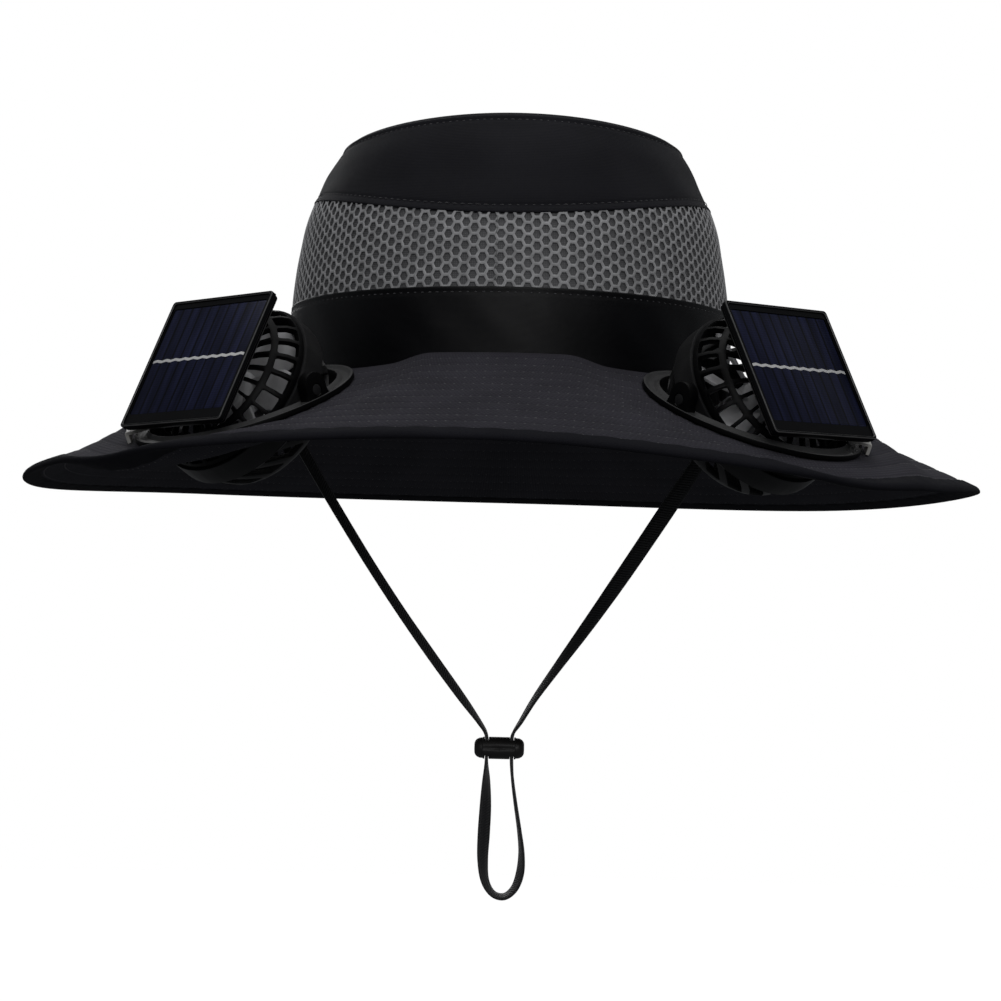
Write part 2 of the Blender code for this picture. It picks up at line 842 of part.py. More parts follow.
def strap_stations():
    """Points along the strap at even shares of its table, with the turn of its flat side."""
    columns = [[row[column] for row in strap_route] for column in range(4)]
    stations = []
    for step in range(strap_steps + 1):
        place = step * (len(strap_route) - 1) / strap_steps
        index = min(int(place), len(strap_route) - 2)
        share = place - index
        values = []
        for column in columns:
            before = column[max(index - 1, 0)]
            after = column[min(index + 2, len(column) - 1)]
            values.append(curve_between(before, column[index], column[index + 1], after, share))
        stations.append((Vector(values[:3]), values[3]))
    return stations


def make_strap():
    stations = strap_stations()
    points = [point for point, turn in stations]
    loops = []
    for index, (point, turn) in enumerate(stations):
        run = (points[min(index + 1, len(points) - 1)] - points[max(index - 1, 0)]).normalized()
        side = run.cross(Vector((0.0, 1.0, 0.0))).normalized()
        depth = Vector((0.0, 1.0, 0.0))
        angle = math.radians(turn)
        across = depth * math.cos(angle) + side * math.sin(angle)
        thick = run.cross(across).normalized()
        corners = ((-1, -1), (1, -1), (1, 1), (-1, 1))
        loops.append([
            point + across * (strap_width / 2.0 * a) + thick * (strap_wall / 2.0 * b)
            for a, b in corners
        ])
    strap = loft("chin_strap", loops)
    paint(strap, (0.010, 0.010, 0.012), 0.8)


def make_lock():
    """The toggle: a rounded bar with a thicker middle and a slot for each strand of the strap."""
    rows = (
        # share of half the length, share of the cross size
        (-1.00, 0.45), (-0.93, 0.74), (-0.78, 0.92), (-0.66, 0.92), (-0.62, 1.00),
        (0.62, 1.00), (0.66, 0.92), (0.78, 0.92), (0.93, 0.74), (1.00, 0.45),
    )
    loops = []
    for along, size in rows:
        loop = []
        for step in range(12):
            turn = math.radians(360.0 * (step + 0.5) / 12)
            depth = lock_depth / 2.0 * size * math.cos(turn)
            height = lock_height / 2.0 * size * math.sin(turn)
            loop.append(Vector((lock_aside + along * lock_length / 2.0, depth, height - lock_centre)))
        loops.append(loop)
    lock = loft("cord_lock", loops)
    half_width = strap_width / 2.0 + gap
    half_wall = strap_wall / 2.0 + gap
    for hand in (-1, 1):
        middle = lock_aside + hand * lock_slot_offset
        low = (middle - half_wall, -half_width, -lock_centre - lock_height)
        high = (middle + half_wall, half_width, -lock_centre + lock_height)
        slot = block(f"lock_slot_{hand}", low, high, None)
        combine(lock, slot, "DIFFERENCE")
    paint(lock, (0.011, 0.011, 0.012), 0.45)


def main():
    for thing in list(bpy.data.objects):
        bpy.data.objects.remove(thing)
    make_crown()
    make_brim()
    make_fan("left", -1)
    make_fan("right", 1)
    make_strap()
    make_lock()
    bpy.context.view_layer.update()


main()
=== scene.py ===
import math

import bpy
import numpy as np
from mathutils import Matrix, Vector


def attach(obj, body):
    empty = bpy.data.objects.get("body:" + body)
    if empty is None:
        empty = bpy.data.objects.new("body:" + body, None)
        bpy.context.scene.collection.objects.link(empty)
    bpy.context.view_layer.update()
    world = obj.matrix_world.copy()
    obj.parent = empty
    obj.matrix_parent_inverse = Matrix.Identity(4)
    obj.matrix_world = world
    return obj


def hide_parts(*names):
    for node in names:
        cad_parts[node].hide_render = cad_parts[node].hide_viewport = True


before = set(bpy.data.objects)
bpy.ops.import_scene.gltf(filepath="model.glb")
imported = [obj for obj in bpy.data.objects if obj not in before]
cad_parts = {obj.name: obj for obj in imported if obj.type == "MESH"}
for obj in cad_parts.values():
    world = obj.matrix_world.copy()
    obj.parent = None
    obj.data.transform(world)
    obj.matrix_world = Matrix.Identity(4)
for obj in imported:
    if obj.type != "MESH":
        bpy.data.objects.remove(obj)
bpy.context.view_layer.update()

print("packed hat loaded")


# Ways of working

def deselectAll():
    if bpy.context.object and bpy.context.object.mode != "OBJECT":
        bpy.ops.object.mode_set(mode="OBJECT")
    bpy.ops.object.select_all(action="DESELECT")


def pick(piece):
    deselectAll()
    piece.select_set(True)
    bpy.context.view_layer.objects.active = piece


def editAll(piece, operator, **settings):
    # runs an edit operator on the whole piece
    pick(piece)
    bpy.ops.object.mode_set(mode="EDIT")
    bpy.ops.mesh.select_all(action="SELECT")
    operator(**settings)
    bpy.ops.object.mode_set(mode="OBJECT")


def atOpenEdges(piece, operator):
    # runs an edit operator on the edges that bound a hole
    pick(piece)
    bpy.ops.object.mode_set(mode="EDIT")
    bpy.ops.mesh.select_mode(type="EDGE")
    bpy.ops.mesh.select_all(action="DESELECT")
    bpy.ops.mesh.select_non_manifold()
    operator()
    bpy.ops.object.mode_set(mode="OBJECT")


def applyModifier(piece, kind, **settings):
    pick(piece)
    modifier = piece.modifiers.new(kind.title(), kind)
    for key, value in settings.items():
        setattr(modifier, key, value)
    bpy.ops.object.modifier_apply(modifier=modifier.name)


def bevelEdges(piece, width, segments=2, angle=math.radians(50)):
    applyModifier(piece, "BEVEL", width=width, segments=segments, limit_method="ANGLE", angle_limit=angle)


def combine(piece, other, operation="DIFFERENCE"):
    # cuts the other piece out or adds it, and deletes it
    applyModifier(piece, "BOOLEAN", operation=operation, object=other, solver="EXACT")
    bpy.data.objects.remove(other)


def applyPlace(piece):
    pick(piece)
    bpy.ops.object.transform_apply(location=True, rotation=True, scale=True)


def addObject(name, data):
    piece = bpy.data.objects.new(name, data)
    bpy.context.scene.collection.objects.link(piece)
    return piece


def crossBar(radius, length, sides, middle=0.0):
    # a round bar along X
    deselectAll()
    bpy.ops.mesh.primitive_cylinder_add(vertices=sides, radius=radius, depth=length,
                                        rotation=(0, math.radians(90), 0), location=(middle, 0, 0))
    bar = bpy.context.object
    applyPlace(bar)
    return bar


def joinPieces(main, others):
    deselectAll()
    for other in others:
        other.select_set(True)
    main.select_set(True)
    bpy.context.view_layer.objects.active = main
    bpy.ops.object.join()
    return main


def isInsideOut(piece):
    # the volume that the faces enclose comes out negative when they point inwards
    piece.data.calc_loop_triangles()
    volume = 0.0
    for triangle in piece.data.loop_triangles:
        first, second, third = (piece.data.vertices[index].co for index in triangle.vertices)
        volume += first.dot(second.cross(third))
    return volume < 0


def fixNormals(piece, mergeDistance=1e-6):
    editAll(piece, bpy.ops.mesh.remove_doubles, threshold=mergeDistance)
    editAll(piece, bpy.ops.mesh.normals_make_consistent, inside=False)
    if isInsideOut(piece):
        editAll(piece, bpy.ops.mesh.flip_normals)


def smoothShade(piece, angle=38):
    pick(piece)
    bpy.ops.object.shade_smooth_by_angle(angle=math.radians(angle))


def selectInEdit(piece, kind, test):
    # leaves the piece in edit mode with only the wanted faces or edges selected
    pick(piece)
    bpy.ops.object.mode_set(mode="EDIT")
    bpy.ops.mesh.select_mode(type=kind)
    bpy.ops.mesh.select_all(action="DESELECT")
    bpy.ops.object.mode_set(mode="OBJECT")
    for item in {"EDGE": piece.data.edges, "FACE": piece.data.polygons}[kind]:
        item.select = bool(test(item))
    bpy.ops.object.mode_set(mode="EDIT")


def finishPiece(piece, material, slot, body, replaced=()):
    piece.data.materials.clear()
    piece.data.materials.append(material)
    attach(piece, body)
    if replaced:
        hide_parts(*replaced)


def clothGrid(name, columns, rows, pointAt, closed=True, size=None):
    # a primitive grid whose points are laid on the hat: pointAt takes shares of both ways,
    # and size is the flat width and height of the cloth, for its UV map in metres
    deselectAll()
    bpy.ops.mesh.primitive_grid_add(x_subdivisions=columns, y_subdivisions=rows, size=1)
    piece = bpy.context.object
    piece.name = name
    for point in piece.data.vertices:
        point.co = pointAt(point.co.x + 0.5, point.co.y + 0.5)
    if closed:
        editAll(piece, bpy.ops.mesh.remove_doubles, threshold=1e-6)
    if size:
        for spot in piece.data.uv_layers[0].data:
            spot.uv = (spot.uv[0] * size[0], spot.uv[1] * size[1])
    return piece


def turnedPiece(name, profile, sides, closed=True):
    # a circle extruded ring by ring up a profile of radius and height
    deselectAll()
    first = profile[0]
    bpy.ops.mesh.primitive_circle_add(vertices=sides, radius=first[0], location=(0, 0, first[1]))
    piece = bpy.context.object
    piece.name = name
    applyPlace(piece)
    bpy.ops.object.mode_set(mode="EDIT")
    bpy.ops.mesh.select_mode(type="EDGE")
    bpy.ops.mesh.select_all(action="SELECT")
    for before, after in zip(profile, profile[1:]):
        bpy.ops.mesh.extrude_region_move(TRANSFORM_OT_translate={"value": (0, 0, after[1] - before[1])})
        grow = after[0] / before[0]
        bpy.ops.transform.resize(value=(grow, grow, 1), center_override=(0, 0, after[1]))
    bpy.ops.object.mode_set(mode="OBJECT")
    near = 2e-6

    def isAt(spot, end):
        return abs(math.hypot(spot.x, spot.y) - end[0]) < near and abs(spot.z - end[1]) < near

    def atEnd(edge):
        spots = [piece.data.vertices[index].co for index in edge.vertices]
        return any(all(isAt(spot, end) for spot in spots) for end in (first, profile[-1]))
    selectInEdit(piece, "EDGE", atEnd)
    if closed:
        bpy.ops.mesh.bridge_edge_loops()
    else:
        bpy.ops.mesh.edge_face_add()
    bpy.ops.object.mode_set(mode="OBJECT")
    fixNormals(piece)
    return piece


def scatterJoined(name, template, frames):
    # one joined mesh with a copy of the template's mesh in each frame
    points = np.array([point.co for point in template.data.vertices])
    faces = [tuple(face.vertices) for face in template.data.polygons]
    allPoints = []
    allFaces = []
    for step, place in enumerate(frames):
        turn = np.array(place.to_3x3())
        allPoints.append(points @ turn.T + np.array(place.translation))
        shift = step * len(points)
        allFaces.extend([tuple(index + shift for index in face) for face in faces])
    mesh = bpy.data.meshes.new(name)
    mesh.from_pydata(np.concatenate(allPoints).tolist(), [], allFaces)
    return addObject(name, mesh)


def axesFrame(place, along, up):
    along = along.normalized()
    across = up.cross(along).normalized()
    top = along.cross(across)
    turn = Matrix((along, across, top)).transposed().to_4x4()
    return Matrix.Translation(place) @ turn


# Numbers read off a table

def tableShare(table, column, key):
    # a smooth curve through one column of a table, over its first column
    last = len(table) - 2
    index = 0
    while index < last and key > table[index + 1][0]:
        index += 1

    def slope(spot):
        low = table[max(spot - 1, 0)]
        high = table[min(spot + 1, len(table) - 1)]
        return (high[column] - low[column]) / (high[0] - low[0])
    lower, upper = table[index], table[index + 1]
    span = upper[0] - lower[0]
    share = (key - lower[0]) / span
    cube, square = share ** 3, share ** 2
    return ((2 * cube - 3 * square + 1) * lower[column]
            + (cube - 2 * square + share) * span * slope(index)
            + (3 * square - 2 * cube) * upper[column]
            + (cube - square) * span * slope(index + 1))


def curveThrough(before, start, end, after, share):
    return 0.5 * (2 * start + (end - before) * share
                  + (2 * before - 5 * start + 4 * end - after) * share ** 2
                  + (3 * start - before - 3 * end + after) * share ** 3)


def smoothStep(value):
    value = min(max(value, 0.0), 1.0)
    return value * value * (3 - 2 * value)


def bump(distance, width):
    return math.exp(-(distance / width) ** 2)


# Camera, floor and lights

photoCamera = {
    "yaw": -2.45, "tilt": 2.5, "roll": 1.24,     # the hat's turn as the camera sees it
    "distance": 1.2, "aside": -0.00345, "below": -0.04864,
    "lens": 110.48, "sensor": 36.0, "nearClip": 0.05,
}

studio = {
    "floorHeight": -0.9, "floorRadius": 9.0,
    "seenWhite": 1.0, "fill": 0.14, "fillColour": (0.93, 0.96, 1.0), "floorGlow": 0.90,
}

softLights = (
    # name, place, size, power, aimed at
    ("topLight", (0.0, -0.25, 1.9), 2.6, 27.0, (0.0, 0.0, 0.0)),
    ("frontLight", (0.35, -2.7, 0.9), 1.8, 26.0, (0.0, 0.0, 0.0)),
    ("backLight", (-0.5, 2.6, 1.2), 1.8, 16.0, (0.0, 0.0, 0.0)),
)


def makeCamera():
    turn = (Matrix.Rotation(math.radians(-photoCamera["tilt"]), 4, "X")
            @ Matrix.Rotation(math.radians(photoCamera["roll"]), 4, "Y")
            @ Matrix.Rotation(math.radians(photoCamera["yaw"]), 4, "Z"))
    place = Matrix.Translation(
        (photoCamera["aside"], -photoCamera["distance"], photoCamera["below"]))
    lens = bpy.data.cameras.new("photoCamera")
    lens.lens = photoCamera["lens"]
    lens.sensor_width = photoCamera["sensor"]
    lens.clip_start = photoCamera["nearClip"]
    camera = addObject("photoCamera", lens)
    camera.matrix_world = turn.inverted() @ place @ Matrix.Rotation(math.radians(90), 4, "X")
    bpy.context.scene.camera = camera
    bpy.context.scene.view_settings.view_transform = "Standard"


def makeFloor():
    deselectAll()
    bpy.ops.mesh.primitive_circle_add(vertices=96, radius=studio["floorRadius"], fill_type="NGON",
                                      location=(0, 0, studio["floorHeight"]))
    floor = bpy.context.object
    floor.name = "studioFloor"
    applyPlace(floor)
    floor.data.materials.append(floorMaterial())
    floor.visible_diffuse = False     # the bright floor doesn't light the dark underside
    floor.visible_glossy = False


def makeLights():
    for name, place, size, power, target in softLights:
        light = bpy.data.lights.new(name, "AREA")
        light.shape = "DISK"
        light.size = size
        light.energy = power
        lamp = addObject(name, light)
        lamp.location = place
        lamp.rotation_euler = (Vector(target) - Vector(place)).to_track_quat("-Z", "Y").to_euler()
    world = bpy.data.worlds.new("studioWorld")
    bpy.context.scene.world = world
    world.use_nodes = True
    nodes, links = world.node_tree.nodes, world.node_tree.links
    nodes.clear()
    path = nodes.new("ShaderNodeLightPath")
    skies = []
    for strength, colour in ((studio["fill"], studio["fillColour"]), (studio["seenWhite"], (1, 1, 1))):
        sky = nodes.new("ShaderNodeBackground")
        sky.inputs["Strength"].default_value = strength
        sky.inputs["Color"].default_value = (*colour, 1)
        skies.append(sky.outputs[0])
    mix = nodes.new("ShaderNodeMixShader")
    out = nodes.new("ShaderNodeOutputWorld")
    links.new(path.outputs["Is Camera Ray"], mix.inputs[0])
    links.new(skies[0], mix.inputs[1])
    links.new(skies[1], mix.inputs[2])
    links.new(mix.outputs[0], out.inputs[0])


# Materials

class Finish:
    # a material with short ways to add and link nodes
    shaderSockets = {
        "roughness": "Roughness", "specular": "Specular IOR Level", "metallic": "Metallic",
        "sheen": "Sheen Weight", "sheenRoughness": "Sheen Roughness",
        "coat": "Coat Weight", "coatRoughness": "Coat Roughness", "glow": "Emission Strength",
    }

    def __init__(self, name, key):
        self.facts = finishes[key]
        self.colour = self.facts["colour"]
        self.material = bpy.data.materials.new(name)
        self.material.use_nodes = True
        self.nodes = self.material.node_tree.nodes
        self.links = self.material.node_tree.links
        self.shader = self.nodes["Principled BSDF"]
        self.shader.inputs["Base Color"].default_value = (*self.colour, 1)
        for fact, socket in self.shaderSockets.items():
            if fact in self.facts:
                self.shader.inputs[socket].default_value = self.facts[fact]
        self.coordinate = self.nodes.new("ShaderNodeTexCoord")

    def place(self, uv=False, scale=(1, 1, 1)):
        mapping = self.nodes.new("ShaderNodeMapping")
        mapping.inputs["Scale"].default_value = scale
        self.links.new(self.coordinate.outputs["UV" if uv else "Object"], mapping.inputs[0])
        return mapping.outputs[0]

    def put(self, socket, value):
        if hasattr(value, "is_output"):
            self.links.new(value, socket)
        else:
            socket.default_value = value

    def math(self, kind, *values):
        node = self.nodes.new("ShaderNodeMath")
        node.operation = kind
        for socket, value in zip(node.inputs, values):
            self.put(socket, value)
        return node.outputs[0]

    def mix(self, share, low, high):
        node = self.nodes.new("ShaderNodeMix")
        node.data_type = "RGBA"
        self.put(node.inputs["Factor"], share)
        self.put(node.inputs[6], low)
        self.put(node.inputs[7], high)
        return node.outputs[2]

    def split(self, vector):
        node = self.nodes.new("ShaderNodeSeparateXYZ")
        self.links.new(vector, node.inputs[0])
        return node.outputs

    def wave(self, amount, count):
        # 0 to 1 and back, count times while amount goes from 0 to 1
        swing = self.math("SINE", self.math("MULTIPLY", amount, count * math.tau))
        return self.math("MULTIPLY_ADD", swing, 0.5, 0.5)

    def noise(self, vector, scale, detail=2.0):
        node = self.nodes.new("ShaderNodeTexNoise")
        self.links.new(vector, node.inputs["Vector"])
        node.inputs["Scale"].default_value = scale
        node.inputs["Detail"].default_value = detail
        node.inputs["Roughness"].default_value = 0.5
        return node.outputs["Fac"]

    def ramp(self, amount, *stops):
        node = self.nodes.new("ShaderNodeValToRGB")
        self.links.new(amount, node.inputs[0])
        edges = node.color_ramp.elements
        while len(edges) < len(stops):
            edges.new(0.5)
        for edge, (spot, colour) in zip(edges, stops):
            edge.position = spot
            edge.color = (*colour, 1)
        return node.outputs[0]

    def paint(self, colour):
        self.links.new(colour, self.shader.inputs["Base Color"])

    def paintShades(self, amount, *stops):
        # darker and lighter versions of the finish's own colour, along an amount
        self.paint(self.ramp(amount, *[
            (spot, tuple(part * share for part in self.colour)) for spot, share in stops]))

    def relief(self, height, distance, strength, under=None):
        node = self.nodes.new("ShaderNodeBump")
        node.inputs["Strength"].default_value = strength
        node.inputs["Distance"].default_value = distance
        self.links.new(height, node.inputs["Height"])
        if under is not None:
            self.links.new(under, node.inputs["Normal"])
        self.links.new(node.outputs[0], self.shader.inputs["Normal"])
        return node.outputs[0]


finishes = {
    # colours are linear; threads is the width of one thread of a weave, in metres
    "floor": {"colour": (0.86, 0.86, 0.86), "roughness": 0.90, "glow": studio["floorGlow"]},
    "crownCloth": {"colour": (0.0078, 0.0078, 0.0102), "roughness": 0.70, "specular": 0.08,
                   "sheen": 0.05, "sheenRoughness": 0.4, "threads": 0.00055},
    "bandCloth": {"colour": (0.0010, 0.0010, 0.0016), "roughness": 0.38, "specular": 0.15,
                  "sheen": 0.0, "sheenRoughness": 0.4, "threads": 0.00040},
    "brimCloth": {"colour": (0.0222, 0.0212, 0.0272), "roughness": 0.85, "specular": 0.05,
                  "sheen": 0.03, "sheenRoughness": 0.45, "threads": 0.00150},
    "brimLining": {"colour": (0.0270, 0.0265, 0.0315), "roughness": 0.85, "specular": 0.03,
                   "sheen": 0.0, "sheenRoughness": 0.4, "threads": 0.00090},
    # the hem tape is darker than the brim cloth: partly a finer tape of its own, partly painted shade on the
    # hem's front edge
    "hemCloth": {"colour": (0.0080, 0.0080, 0.0104), "roughness": 0.80, "specular": 0.03,
                 "sheen": 0.01, "sheenRoughness": 0.4, "threads": 0.00045},
    "netBacking": {"colour": (0.100, 0.100, 0.104), "roughness": 0.80, "specular": 0.1,
                   "sheen": 0.1, "sheenRoughness": 0.4, "threads": 0.00080},
    "netThread": {"colour": (0.235, 0.235, 0.242), "roughness": 0.65, "sheen": 0.2},
    "stitchThread": {"colour": (0.016, 0.016, 0.020), "roughness": 0.60, "sheen": 0.2},
    "webbing": {"colour": (0.0070, 0.0070, 0.0085), "roughness": 0.60,
                "sheen": 0.25, "sheenRoughness": 0.4, "threads": 0.0011},
    "lockPlastic": {"colour": (0.0075, 0.0068, 0.0068), "roughness": 0.42, "specular": 0.35},
    # the lighter shade of the base plastic: painted light on the flange's upward faces; the clamp ring has it
    # too
    "litBasePlastic": {"colour": (0.0300, 0.0300, 0.0305), "roughness": 0.55, "specular": 0.15},
    "cage": {"colour": (0.0012, 0.0012, 0.0014), "roughness": 0.40, "specular": 0.06},
    "shell": {"colour": (0.0085, 0.0085, 0.0090), "roughness": 0.46, "specular": 0.14},
    "tab": {"colour": (0.40, 0.39, 0.37), "roughness": 0.38, "coat": 0.1, "coatRoughness": 0.15},
    "motor": {"colour": (0.30, 0.30, 0.31), "roughness": 0.32, "metallic": 0.9},
    "impeller": {"colour": (0.36, 0.36, 0.37), "roughness": 0.50},
    "panel": {"colour": (0.0016, 0.0016, 0.0020), "roughness": 0.30, "specular": 0.08,
              "coat": 0.1, "coatRoughness": 0.15},
    # a lighter plastic for the tray's bevels: a painted highlight line along the edges, with some real gloss
    "panelBevelHighlight": {"colour": (0.0450, 0.0450, 0.0450), "roughness": 0.35, "specular": 0.50},
    "cells": {"colour": (0.008, 0.009, 0.022), "roughness": 0.42, "specular": 0.08,
              "coat": 0.16, "coatRoughness": 0.28, "strips": 10, "fingers": 46, "zigzags": 10,
              "lineHeight": 0.494, "zigzagRise": 0.024, "lineHalfWidth": 0.0125, "lineReach": 0.492,
              "cut": (0.0010, 0.0011, 0.0030, 1), "line": (0.50, 0.50, 0.50, 1)},
}


def floorMaterial():
    finish = Finish("studioFloorPaint", "floor")
    finish.shader.inputs["Emission Color"].default_value = (1, 1, 1, 1)
    cloud = finish.noise(finish.place(), 0.8, 3.0)
    finish.paint(finish.ramp(cloud, (0.3, (0.85, 0.85, 0.85)), (0.7, (0.87, 0.87, 0.87))))
    return finish.material


def dressCloth(finish, pattern, cloud, mixture, shades, slow, fine):
    # the pattern of threads and a slow cloud set both the shade and the relief
    clouded = finish.math("MULTIPLY", cloud, mixture[1])
    shade = finish.math("MULTIPLY_ADD", pattern, mixture[0], clouded)
    finish.paintShades(shade, (0.15, shades[0]), (0.85, shades[1]))
    finish.relief(pattern, *fine, finish.relief(cloud, *slow))
    return finish.material


def wovenCloth(name, key):
    # fine crossed threads with slow changes of shade; the UV map is in metres
    finish = Finish(name, key)
    spot = finish.split(finish.place(uv=True))
    thread = finish.facts["threads"]
    weave = finish.math("MULTIPLY", finish.wave(spot[0], 1.0 / thread), finish.wave(spot[1], 1.0 / thread))
    cloud = finish.noise(finish.place(), 38.0, 4.0)
    return dressCloth(finish, weave, cloud, (0.45, 0.75), (0.72, 1.35), (0.0012, 0.35), (thread * 0.25, 0.5))


def brimClothMaterial():
    # a ribbed cloth with small pits in rows, every other row set off by half a step
    finish = Finish("brimRibbedCloth", "brimCloth")
    spot = finish.split(finish.place(uv=True))
    count = 1.0 / finish.facts["threads"]
    rowNumber = finish.math("ROUND", finish.math("MULTIPLY", spot[1], count))
    offset = finish.math("MULTIPLY", rowNumber, 0.5 / count)
    dots = finish.wave(finish.math("ADD", spot[0], offset), count)
    pits = finish.math("MULTIPLY", finish.wave(spot[1], count), dots)
    cloud = finish.noise(finish.place(), 55.0, 5.0)
    return dressCloth(finish, pits, cloud, (0.5, 0.7), (0.66, 1.42), (0.0010, 0.4), (0.0003, 0.6))


def plasticMaterial(name, key, grain=900.0, grainDepth=0.00004):
    finish = Finish(name, key)
    spot = finish.place()
    finish.paintShades(finish.noise(spot, 120.0, 4.0), (0.3, 0.85), (0.7, 1.25))
    rough = finish.facts["roughness"]
    smudge = finish.ramp(finish.noise(spot, 60.0),
                         (0.3, (rough * 0.85,) * 3), (0.75, (min(rough * 1.35, 1),) * 3))
    finish.links.new(smudge, finish.shader.inputs["Roughness"])
    finish.relief(finish.noise(spot, grain), grainDepth, 0.5)
    return finish.material


def threadMaterial(name, key, twist=0.0006):
    finish = Finish(name, key)
    spot = finish.place()
    finish.paintShades(finish.noise(spot, 260.0, 3.0), (0.3, 0.7), (0.7, 1.3))
    finish.relief(finish.noise(spot, 1.0 / twist), 0.00012, 0.6)
    return finish.material


def webbingMaterial():
    # a flat braid: ribs across the strap, on its own UV map in metres
    finish = Finish("strapWebbing", "webbing")
    spot = finish.split(finish.place(uv=True))
    count = 1.0 / finish.facts["threads"]
    ribs = finish.wave(finish.math("ADD", spot[1], finish.math("ABSOLUTE", spot[0])), count)
    runs = finish.wave(spot[0], count)
    braid = finish.math("MULTIPLY", ribs, finish.math("MULTIPLY_ADD", runs, 0.5, 0.5))
    finish.paintShades(braid, (0.1, 0.6), (0.9, 1.7))
    finish.relief(braid, 0.00025, 0.7)
    return finish.material


def motorMaterial():
    finish = Finish("motorCanMetal", "motor")
    brushed = finish.noise(finish.place(scale=(60, 60, 900)), 1.0, 3.0)
    finish.paintShades(brushed, (0.3, 0.8), (0.7, 1.15))
    finish.relief(brushed, 0.00005, 0.4)
    return finish.material


def cellsMaterial():
    # silicon strips under clear resin with a zigzag line across the middle; UV runs 0 to 1
    finish = Finish("solarCellGlass", "cells")
    facts = finish.facts
    across, along, spare = finish.split(finish.place(uv=True))
    strip = finish.math("FRACT", finish.math("MULTIPLY", across, facts["strips"]))
    fromMiddle = finish.math("ABSOLUTE", finish.math("SUBTRACT", strip, 0.5))
    cut = finish.ramp(fromMiddle, (0.37, (0, 0, 0)), (0.45, (1, 1, 1)))
    stripCloud = finish.noise(finish.place(uv=True, scale=(14, 1.2, 1)), 1.0)
    finger = finish.wave(along, facts["fingers"])
    silicon = finish.ramp(
        finish.math("MULTIPLY_ADD", finger, 0.12, stripCloud), (0.30, (0.0022, 0.0028, 0.0095)),
        (0.52, (0.0058, 0.0070, 0.0205)), (0.78, (0.0125, 0.0150, 0.0430)))
    bend = finish.math("PINGPONG", finish.math("MULTIPLY", across, facts["zigzags"]), 0.5)
    middle = finish.math("MULTIPLY_ADD", bend, facts["zigzagRise"], facts["lineHeight"])
    away = finish.math("ABSOLUTE", finish.math("SUBTRACT", along, middle))
    onLine = finish.math("LESS_THAN", away, facts["lineHalfWidth"])
    aside = finish.math("ABSOLUTE", finish.math("SUBTRACT", across, 0.5))
    busbar = finish.math("MULTIPLY", onLine, finish.math("LESS_THAN", aside, facts["lineReach"]))
    finish.paint(finish.mix(busbar, finish.mix(cut, silicon, facts["cut"]), facts["line"]))
    finish.relief(finish.math("MAXIMUM", busbar, finish.math("MULTIPLY", finger, 0.15)), 0.0001, 0.4)
    return finish.material


makeCamera()
makeFloor()
makeLights()
print("camera, floor and lights ready")


# Chin strap and its toggle

strap = {"width": 0.0065, "wall": 0.0012, "rowsPerPoint": 9, "flatShare": 0.86, "round": 0.0003}

strapRoute = (
    # x, z, turn of the flat side; y is 0 all along
    (-0.0885, -0.0052, 10), (-0.0883, -0.0100, 18), (-0.0866, -0.0180, 28), (-0.0820, -0.0275, 32),
    (-0.0735, -0.0418, 30), (-0.0649, -0.0557, 29), (-0.0530, -0.0742, 27), (-0.0407, -0.0922, 26),
    (-0.0281, -0.1095, 27), (-0.0164, -0.1250, 22), (-0.0090, -0.1348, 8), (-0.0060, -0.1398, 0),
    (-0.0057, -0.1450, 0), (-0.0057, -0.1505, 0), (-0.0056, -0.1575, 20), (-0.0057, -0.1680, 38),
    (-0.0061, -0.1785, 42), (-0.0063, -0.1880, 34), (-0.0053, -0.1962, 22), (-0.0022, -0.2013, 14),
    (0.0023, -0.2024, 16), (0.0062, -0.1992, 22), (0.0083, -0.1932, 26), (0.0087, -0.1855, 18),
    (0.0077, -0.1770, 10), (0.0059, -0.1660, 6), (0.0046, -0.1570, 3), (0.0041, -0.1505, 0),
    (0.0041, -0.1450, 0), (0.0043, -0.1398, 0), (0.0074, -0.1345, 10), (0.0130, -0.1250, 18),
    (0.0218, -0.1122, 30), (0.0300, -0.1005, 44), (0.0374, -0.0897, 56), (0.0450, -0.0783, 66),
    (0.0525, -0.0668, 72), (0.0640, -0.0489, 78), (0.0752, -0.0314, 60), (0.0850, -0.0160, 30),
    (0.0885, -0.0052, 10),
)

cordLock = {
    "length": 0.0195, "height": 0.0086, "depth": 0.0098, "centre": -0.145, "aside": -0.0008,
    "slotOffset": 0.0049, "slotClear": 0.0006, "groove": 0.0007, "grooveEnd": 0.62,
}

lockShape = (
    # from an end to the raised middle: share of half the length, share of the cross size
    (0.96, 0.30), (0.985, 0.46), (0.96, 0.62), (0.90, 0.78), (0.80, 0.90), (0.70, 0.93),
    (0.66, 0.93), (0.635, 1.0), (0.30, 1.0),
)


def strapStations():
    # points close together along the strap, each with the turn of its flat side
    stations = []
    last = len(strapRoute) - 1
    steps = strap["rowsPerPoint"]
    for index in range(last):
        rows = [strapRoute[min(max(index + shift, 0), last)] for shift in (-1, 0, 1, 2)]
        for step in range(steps + (index == last - 1)):
            x, z, turn = [curveThrough(*column, step / steps) for column in zip(*rows)]
            stations.append((Vector((x, 0, z)), math.radians(turn)))
    return stations


